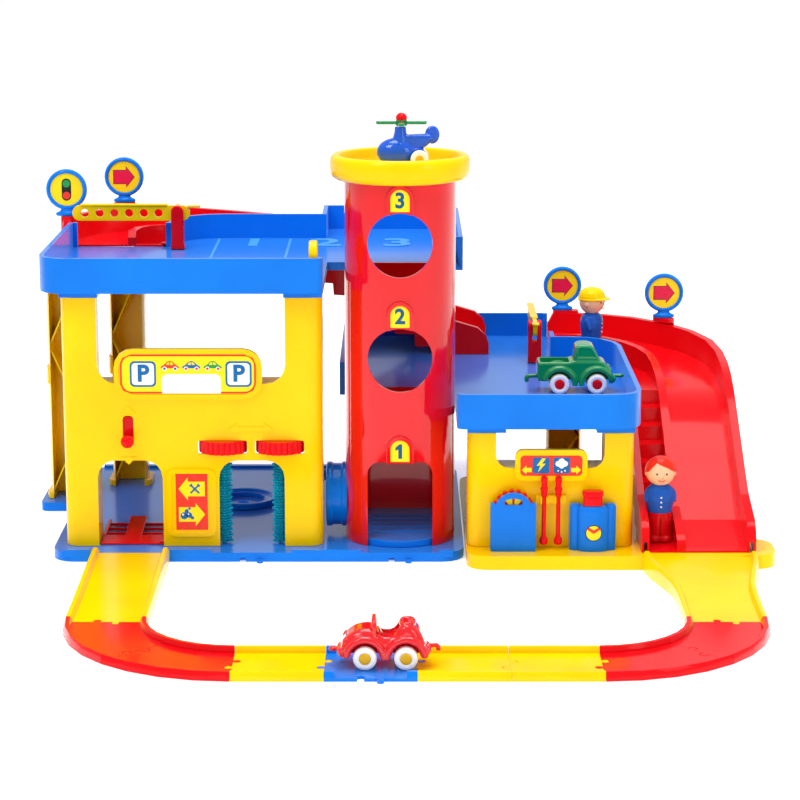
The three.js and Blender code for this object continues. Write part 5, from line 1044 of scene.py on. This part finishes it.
# Four vinyls, softer in their lights than ABS, and a skin that light enters a little.
SKIN = moulded_plastic("vinyl_skin", "#F4C6A0", "#F0BE96", roughness=0.36, coat=0.1, glow=0.25)
HAIR = moulded_plastic("vinyl_hair_red", "#E8321F", "#DE2A18", roughness=0.3)
SHIRT = moulded_plastic("vinyl_shirt_blue", "#1F5CC0", "#1B53B4", roughness=0.26)
LEGS = moulded_plastic("vinyl_legs_red", "#D8101A", "#CC0C16", roughness=0.26)


def dot_on(x, z, reach, radius, plastic):
    """A small printed or raised dot on the front of a figure, its middle reach mm before the axis."""
    dot = turned("dot", [(radius, -1.4), (radius, 0.1), (radius * 0.7, 0.35), (radius * 0.2, 0.4)],
                 (x, -reach, z), FRONT, 20)
    return finish(dot, plastic, 0)


def doll(name, top_plastic, capped, place, turn):
    """A figure of 92 mm, facing the front before its turn."""
    leg_line = [(9, 0), (11.6, 0.6), (12.6, 2.4), (12.8, 8), (12.6, 22), (12.4, 34)]
    legs = turned("legs", leg_line, sides=48, flatten=0.92)
    foot_line = [(4, 0), (6, 0.8), (6.6, 3), (6, 5.6), (3.6, 7.2), (1, 7.6)]
    feet = [turned("foot", foot_line, (x, -7.4, 0), UP, 32) for x in (-5.6, 5.6)]
    cleft = traced("cleft", [(-0.9, 6), (0.9, 6), (0.7, 26), (-0.7, 26)], 8, (0, -9, 0), FRONT)
    lower = finish(soft_moulding("legs", [carved(legs, cleft)] + feet, 0.5, 5), LEGS, 0)
    torso_line = [(12.4, 31.4), (13, 32), (13.3, 35), (14, 40), (14.9, 45), (14.9, 51), (13.4, 57.4),
                  (10, 60.6), (6.4, 62)]
    torso = turned("torso", torso_line, sides=56, flatten=0.9)
    arms = []
    for side in (-1, 1):
        route = [(12.2, 0, 56), (14.5, -1, 52.4), (14.9, -2.4, 48), (14.2, -4.2, 43)]
        arms.append(tube("arm", [(x * side, y, z) for x, y, z in route], 2.5))
    shirt = finish(soft_moulding("shirt", [torso] + arms, 0.5, 4), SHIRT, 0)
    head = ball("head", (15.6, 15, 16), (0, 0, 75.6), 56, 36)
    nose = turned("nose", [(2.2, -2), (2.2, 0.2), (1.6, 1.2), (0.6, 1.7)], (0, -14.6, 72.6), FRONT, 24)
    ear_line = [(2.4, -2), (2.8, 0), (2.4, 1.2), (1, 1.6)]
    ears = [turned("ear", ear_line, (15 * side, 0, 73.4), (0, 90 * side, 0), 24) for side in (-1, 1)]
    face = finish(soft_moulding("face", [head, nose] + ears, 0.5, 4), SKIN, 0)
    parts = [lower, shirt, face]
    parts += [dot_on(x, 75.2, 14.1, 1.15, INK_BLACK) for x in (-5, 5)]
    smile = tube("smile", [(-3.4, -13.9, 68.6), (-1.8, -14.25, 67.3), (0, -14.35, 66.9), (1.8, -14.25, 67.3),
                           (3.4, -13.9, 68.6)], 0.42)
    parts.append(finish(smile, INK_RED, 0))
    parts += [dot_on(0, z, 13.75, 0.95, WHITE) for z in (39.4, 44.4, 49.4)]
    if capped:
        cap_line = [(16, 77), (16.8, 77.6), (16.8, 79), (16.2, 79.8), (16, 82), (14.6, 86), (11.8, 89.2),
                    (7.6, 91.3), (4, 91.9), (1, 92)]
        cap = turned("cap", cap_line, sides=64)
        peak = turned("peak", [(12, 78.4), (13.4, 78.2), (13.4, 79.4), (12, 80)], (0, -9.4, 0), UP, 48)
        top = soft_moulding("cap", [cap, peak], 0.5, 4)
    else:
        hair = ball("hair", (16.7, 16.2, 16.6), (0, 0.5, 75.4), 56, 36)
        fringe_line = [(-20, 55), (20, 55), (20, 73), (13.4, 76.6), (8, 80.6), (0, 84), (-5, 86.4),
                       (-9.4, 82), (-13, 77), (-20, 72)]
        fringe = traced("fringe", fringe_line, 30, (0, -1.5, 0), FRONT)
        nape = traced("nape", [(-20, 50), (20, 50), (20, 66), (-20, 66)], 40, (0, 21, 0), FRONT)
        top = soft_moulding("hair", [carved(hair, fringe, nape)], 0.5, 4)
    parts.append(finish(top, top_plastic, 0))
    stand_in(place_on(joined(name + "_doll", parts), place, (0, 0, turn)), name)


doll("worker_figure", YELLOW, True, (234.4, 329.6, 141.3), 62)
doll("driver_figure", HAIR, False, (283.5, -12, 17.3), 0)

# Filling station: a yellow base and a wall that stands on it, both of moulded ABS with soft edges. A
# printed vinyl board on the wall shows a charging bolt, a raining cloud and two arrows.
STATION_FLOOR, STATION_FACE = 15.3, -33.3
moulding("station_base", edge=1.6)
moulding("station_wall", edge=1.6)
SYMBOL_X = 10.8
board = [print_shape(rounded_box(-32.6, -11, 32.6, 11, 4.4), INK_RED, 1)]
for x in (-SYMBOL_X, SYMBOL_X):
    board.append(print_shape(rounded_box(-8.8, -8.6, 8.8, 8.6, 2), INK_BLUE, 2, x, 0.4))
bolt = [(1, 7.4), (-4.6, -0.6), (-0.6, -0.2), (-3.2, -7.4), (4.8, 1.8), (0.8, 1.6), (5, 7.4)]
board.append(print_shape(bolt, INK_YELLOW, 3, -SYMBOL_X, 0.6))
cloud = (
    arc(-3.6, 1.6, 3, 260, 90, 10) + arc(0, 4, 3.4, 170, 10, 10) + arc(3.6, 1.6, 3, 90, -80, 10)
    + arc(0, -0.8, 2.8, -20, -160, 8)
)
board.append(print_shape(cloud, INK_WHITE, 3, SYMBOL_X, 0.6))
for x, z in ((-3.6, -5.4), (0, -6.6), (3.6, -5.4)):
    board.append(print_dot(SYMBOL_X + x, z, 0.9, INK_WHITE, 3, 12))
board.append(print_shape(arrow(10.4, 9.4, 4.6, 5, -1), INK_YELLOW, 2, -26, -4.6))
board.append(print_shape(arrow(10.4, 9.4, 4.6, 5), INK_YELLOW, 2, 26, -4.6))
sticker("station_board_sticker", board, (166, -37, 104.6))

# Charging pump: a blue ABS case plate with an arched window on two cheeks, and behind it a red dial that
# turns on a pin. The dial has 17 teeth to turn it by and eight printed yellow sectors.
CASE_X, DIAL_Z, TEETH = 126, 58.5, 17
case_line = (
    [(103.6, STATION_FLOOR), (148.4, STATION_FLOOR), (149.4, 15.8), (149.8, 17), (149.8, 66.4),
     (149.4, 67.6), (148.4, 68.1), (147, 67.4), (145.8, 66.8)]
    + arc(CASE_X, DIAL_Z, 20, 23, 157, 30)
    + [(106.2, 66.8), (105, 67.4), (103.6, 68.1), (102.6, 67.6), (102.2, 66.4), (102.2, 17), (102.6, 15.8)]
)
case_plate = traced("pump_case_shell", case_line, 4, (0, -47.3, 0), FRONT)
window = [(116.4, 67.6), (117, 65.8), (118.6, 65.2), (133.4, 65.2), (135, 65.8), (135.6, 67.6)]
window += arc(CASE_X, 52, 20.4, 63, 117, 12)
carved(case_plate, traced("window", window, 8, (0, -45, 0), FRONT))
case_sides = [(102.2, STATION_FLOOR), (149.8, STATION_FLOOR), (149.8, 64), (148, 64), (148, 36), (104, 36),
              (104, 64), (102.2, 64)]
fused(case_plate, traced("case_sides", case_sides, 14.6, (0, STATION_FACE, 0), FRONT))
stand_in(finish(case_plate, BLUE, 0.7), "pump_case")
dial_line = []
for tooth in range(TEETH):
    for turn, reach in ((0, 20), (2.5, 20), (6, 22.2), (14.5, 22.2), (18, 20)):
        angle = math.radians(tooth * 360 / TEETH + turn)
        dial_line.append((reach * math.cos(angle), reach * math.sin(angle)))
dial = finish(traced("pump_dial_wheel", dial_line, 8), RED, 0.5, 2)
sectors = []
for step in range(8):
    low = step * 45 + 52
    sector = arc(0, 0, 16, low, low + 31, 8) + arc(0, 0, 6, low + 31, low, 4)
    sectors.append(inked(traced("sector", sector, 0.4, (0, 0, 7.9)), INK_YELLOW))
pin = finish(turned("dial_pin", [(5.4, -3.4), (5.4, 0.2)], sides=32), RED, 0)
joined("pump_dial_wheel", [dial, pin] + sectors)
stand_in(place_on(dial, (CASE_X, -38.7, DIAL_Z), FRONT), "pump_dial")


# Bottle pump: a blue ABS body with a round front and a lobe on each side, its top edges rolled over, and
# a round printed badge. A rectangular red cap with a lid is pressed on it.
def shouldered(name, plan, height, shoulder):
    """A body of one plan drawn up to its height, its top edge rolled over to a soft shoulder."""
    piece = traced(name, plan, height)
    select_only(piece)
    bpy.ops.object.mode_set(mode="EDIT")
    pick_edges(piece, lambda middle: middle.z > height - 0.01)
    bpy.ops.mesh.bevel(offset=shoulder * MM, segments=8, affect="EDGES", clamp_overlap=True)
    bpy.ops.object.mode_set(mode="OBJECT")
    return finish(piece, BLUE, 0)


middle_plan = [(16, 0)]
for step in range(25):
    turn = math.radians(-step * 7.5)
    middle_plan.append((16 * math.cos(turn), -9.5 - 10 * abs(math.sin(turn)) ** 0.6))
middle_plan.append((-16, 0))
bottle = [shouldered("bottle_pump_shell", middle_plan, 48, 5)]
for side in (-1, 1):
    first, last = (0, -180) if side > 0 else (180, 360)
    lobe_plan = [(side * 24.6, 0)] + arc(side * 18.4, -7, 6.2, first, last, 16) + [(side * 12.2, 0)]
    bottle.append(shouldered("lobe", lobe_plan, 49.7, 4.6))
badge_x, badge_z = 0.3, 20.3
badge = turned("badge", [(8.7, 0), (8.7, 1.1)], (badge_x, -18.8, badge_z), FRONT, 48)
face = turned("badge_face", [(7.8, 0), (7.8, 0.3)], (badge_x, -19.7, badge_z), FRONT, 40)
chevron_line = [(-7.3, 4.2), (-4.9, 6), (0, 3.1), (4.9, 6), (7.3, 4.2), (0, -0.8)]
chevron = traced("chevron", chevron_line, 0.3, (badge_x, -19.85, badge_z), FRONT)
bottle += [finish(badge, INK_NAVY, 0.2, 2), inked(face, INK_YELLOW), inked(chevron, INK_RED)]
stand_in(place_on(joined("bottle_pump_shell", bottle), (210, STATION_FACE, STATION_FLOOR)), "bottle_pump")
cap = finish(traced("bottle_cap_shell", rounded_box(-10.2, -6, 10.2, 6, 4.4), 10.4), RED, 0.4, 2)
lid = finish(traced("lid", rounded_box(-11.2, -6.5, 11.2, 6.5, 4.8), 5.8, (0, 0, 10)), RED, 1.4, 4)
stand_in(place_on(joined("bottle_cap_shell", [cap, lid]), (209.6, -43.2, 63.6)), "bottle_cap")

# Nozzles: two red ABS wands with round bodies hang in the open jaws of a yellow clip on the station's
# wall. Each lifts straight up out of its jaw.
NOZZLES_X, NOZZLE_Y = (158.5, 173.5), -41.9
clip = [traced("clip_bar", rounded_box(-16, -2.6, 16, 2.4, 1), 7.9, (166, -35.7, 64.7))]
for x in NOZZLES_X:
    jaw = arc(0, 0, 4.6, -38, 218, 20) + arc(0, 0, 2.7, 218, -38, 16)
    clip.append(traced("clip_jaw", jaw, 7.1, (x, NOZZLE_Y, 65.1)))
clip = finish(fused(*clip), YELLOW, 0.5)
clip.name = "nozzle_clip_moulding"
stand_in(clip, "nozzle_clip")
for i, x in enumerate(NOZZLES_X, 1):
    nozzle = turned(
        f"nozzle_wand_{i}",
        [(1.6, 20), (3.6, 20.9), (4.4, 23), (4.4, 25.6), (3.6, 27.8), (2.5, 30), (2.3, 34), (2.3, 72.9),
         (3.2, 73.4), (3.5, 75), (3.3, 78.4), (3.9, 79), (4.1, 80), (4.1, 81.4), (3.8, 82.4), (3.2, 83.4),
         (3.1, 88), (3.6, 89), (3.6, 92.8), (2.8, 94), (1, 94)],
        (x, NOZZLE_Y, 0), sides=40,
    )
    stand_in(finish(nozzle, RED, 0), f"nozzle_{i}")


# Studio: the set is photographed on white paper under a wide soft light from above left, with a weaker one
# from the right, and seen from a little above the landing pad's height through a long lens.
def studio_light(name, place, aim, wide, high, power):
    """A rectangular soft light at a place in metres, turned towards its aim."""
    lamp = bpy.data.lights.new(name, "AREA")
    lamp.shape = "RECTANGLE"
    lamp.size = wide
    lamp.size_y = high
    lamp.energy = power
    light = bpy.data.objects.new(name, lamp)
    bpy.context.scene.collection.objects.link(light)
    light.location = place
    light.rotation_euler = (Vector(aim) - Vector(place)).to_track_quat("-Z", "Y").to_euler()


bpy.ops.object.select_all(action="DESELECT")
bpy.ops.mesh.primitive_plane_add(size=24, location=(0, 6, -0.0003))
paper = bpy.context.active_object
paper.name = "studio_paper"
select_only(paper)
bpy.ops.object.transform_apply(location=True)
paper_white = bpy.data.materials.new("white_paper")
paper_white.use_nodes = True
sheet = paper_white.node_tree.nodes["Principled BSDF"]
for name_of_input, value in (
    ("Base Color", (1, 1, 1, 1)), ("Roughness", 0.95), ("Specular IOR Level", 0.1),
    ("Emission Color", (1, 1, 1, 1)), ("Emission Strength", 0.4),
):
    sheet.inputs[name_of_input].default_value = value
paper.data.materials.append(paper_white)

room = bpy.data.worlds.new("white_studio")
bpy.context.scene.world = room
room.use_nodes = True
room.node_tree.nodes["Background"].inputs["Color"].default_value = (1, 1, 1, 1)
room.node_tree.nodes["Background"].inputs["Strength"].default_value = 0.62
studio_light("key", (-1.2, -1.3, 2.3), (0, 0, 0.15), 1.0, 1.0, 23)
studio_light("fill", (1.9, -1.8, 1.2), (0, 0, 0.15), 0.8, 1.4, 9)
studio_light("top", (0.1, 0.2, 2.4), (0, 0, 0.1), 1.6, 1.6, 46)

view = bpy.data.cameras.new("camera")
view.lens = 111.6
view.sensor_width = 36
view.dof.use_dof = False
camera = bpy.data.objects.new("camera", view)
bpy.context.scene.collection.objects.link(camera)
# The camera's place in metres and its tilt were fitted to the photograph.
CAMERA_TILT = 12.1
camera.location = (0.007, -2.569, 0.718)
camera.rotation_euler = (math.radians(90 - CAMERA_TILT), 0, 0)
bpy.context.scene.camera = camera
bpy.context.scene.view_settings.view_transform = "Standard"
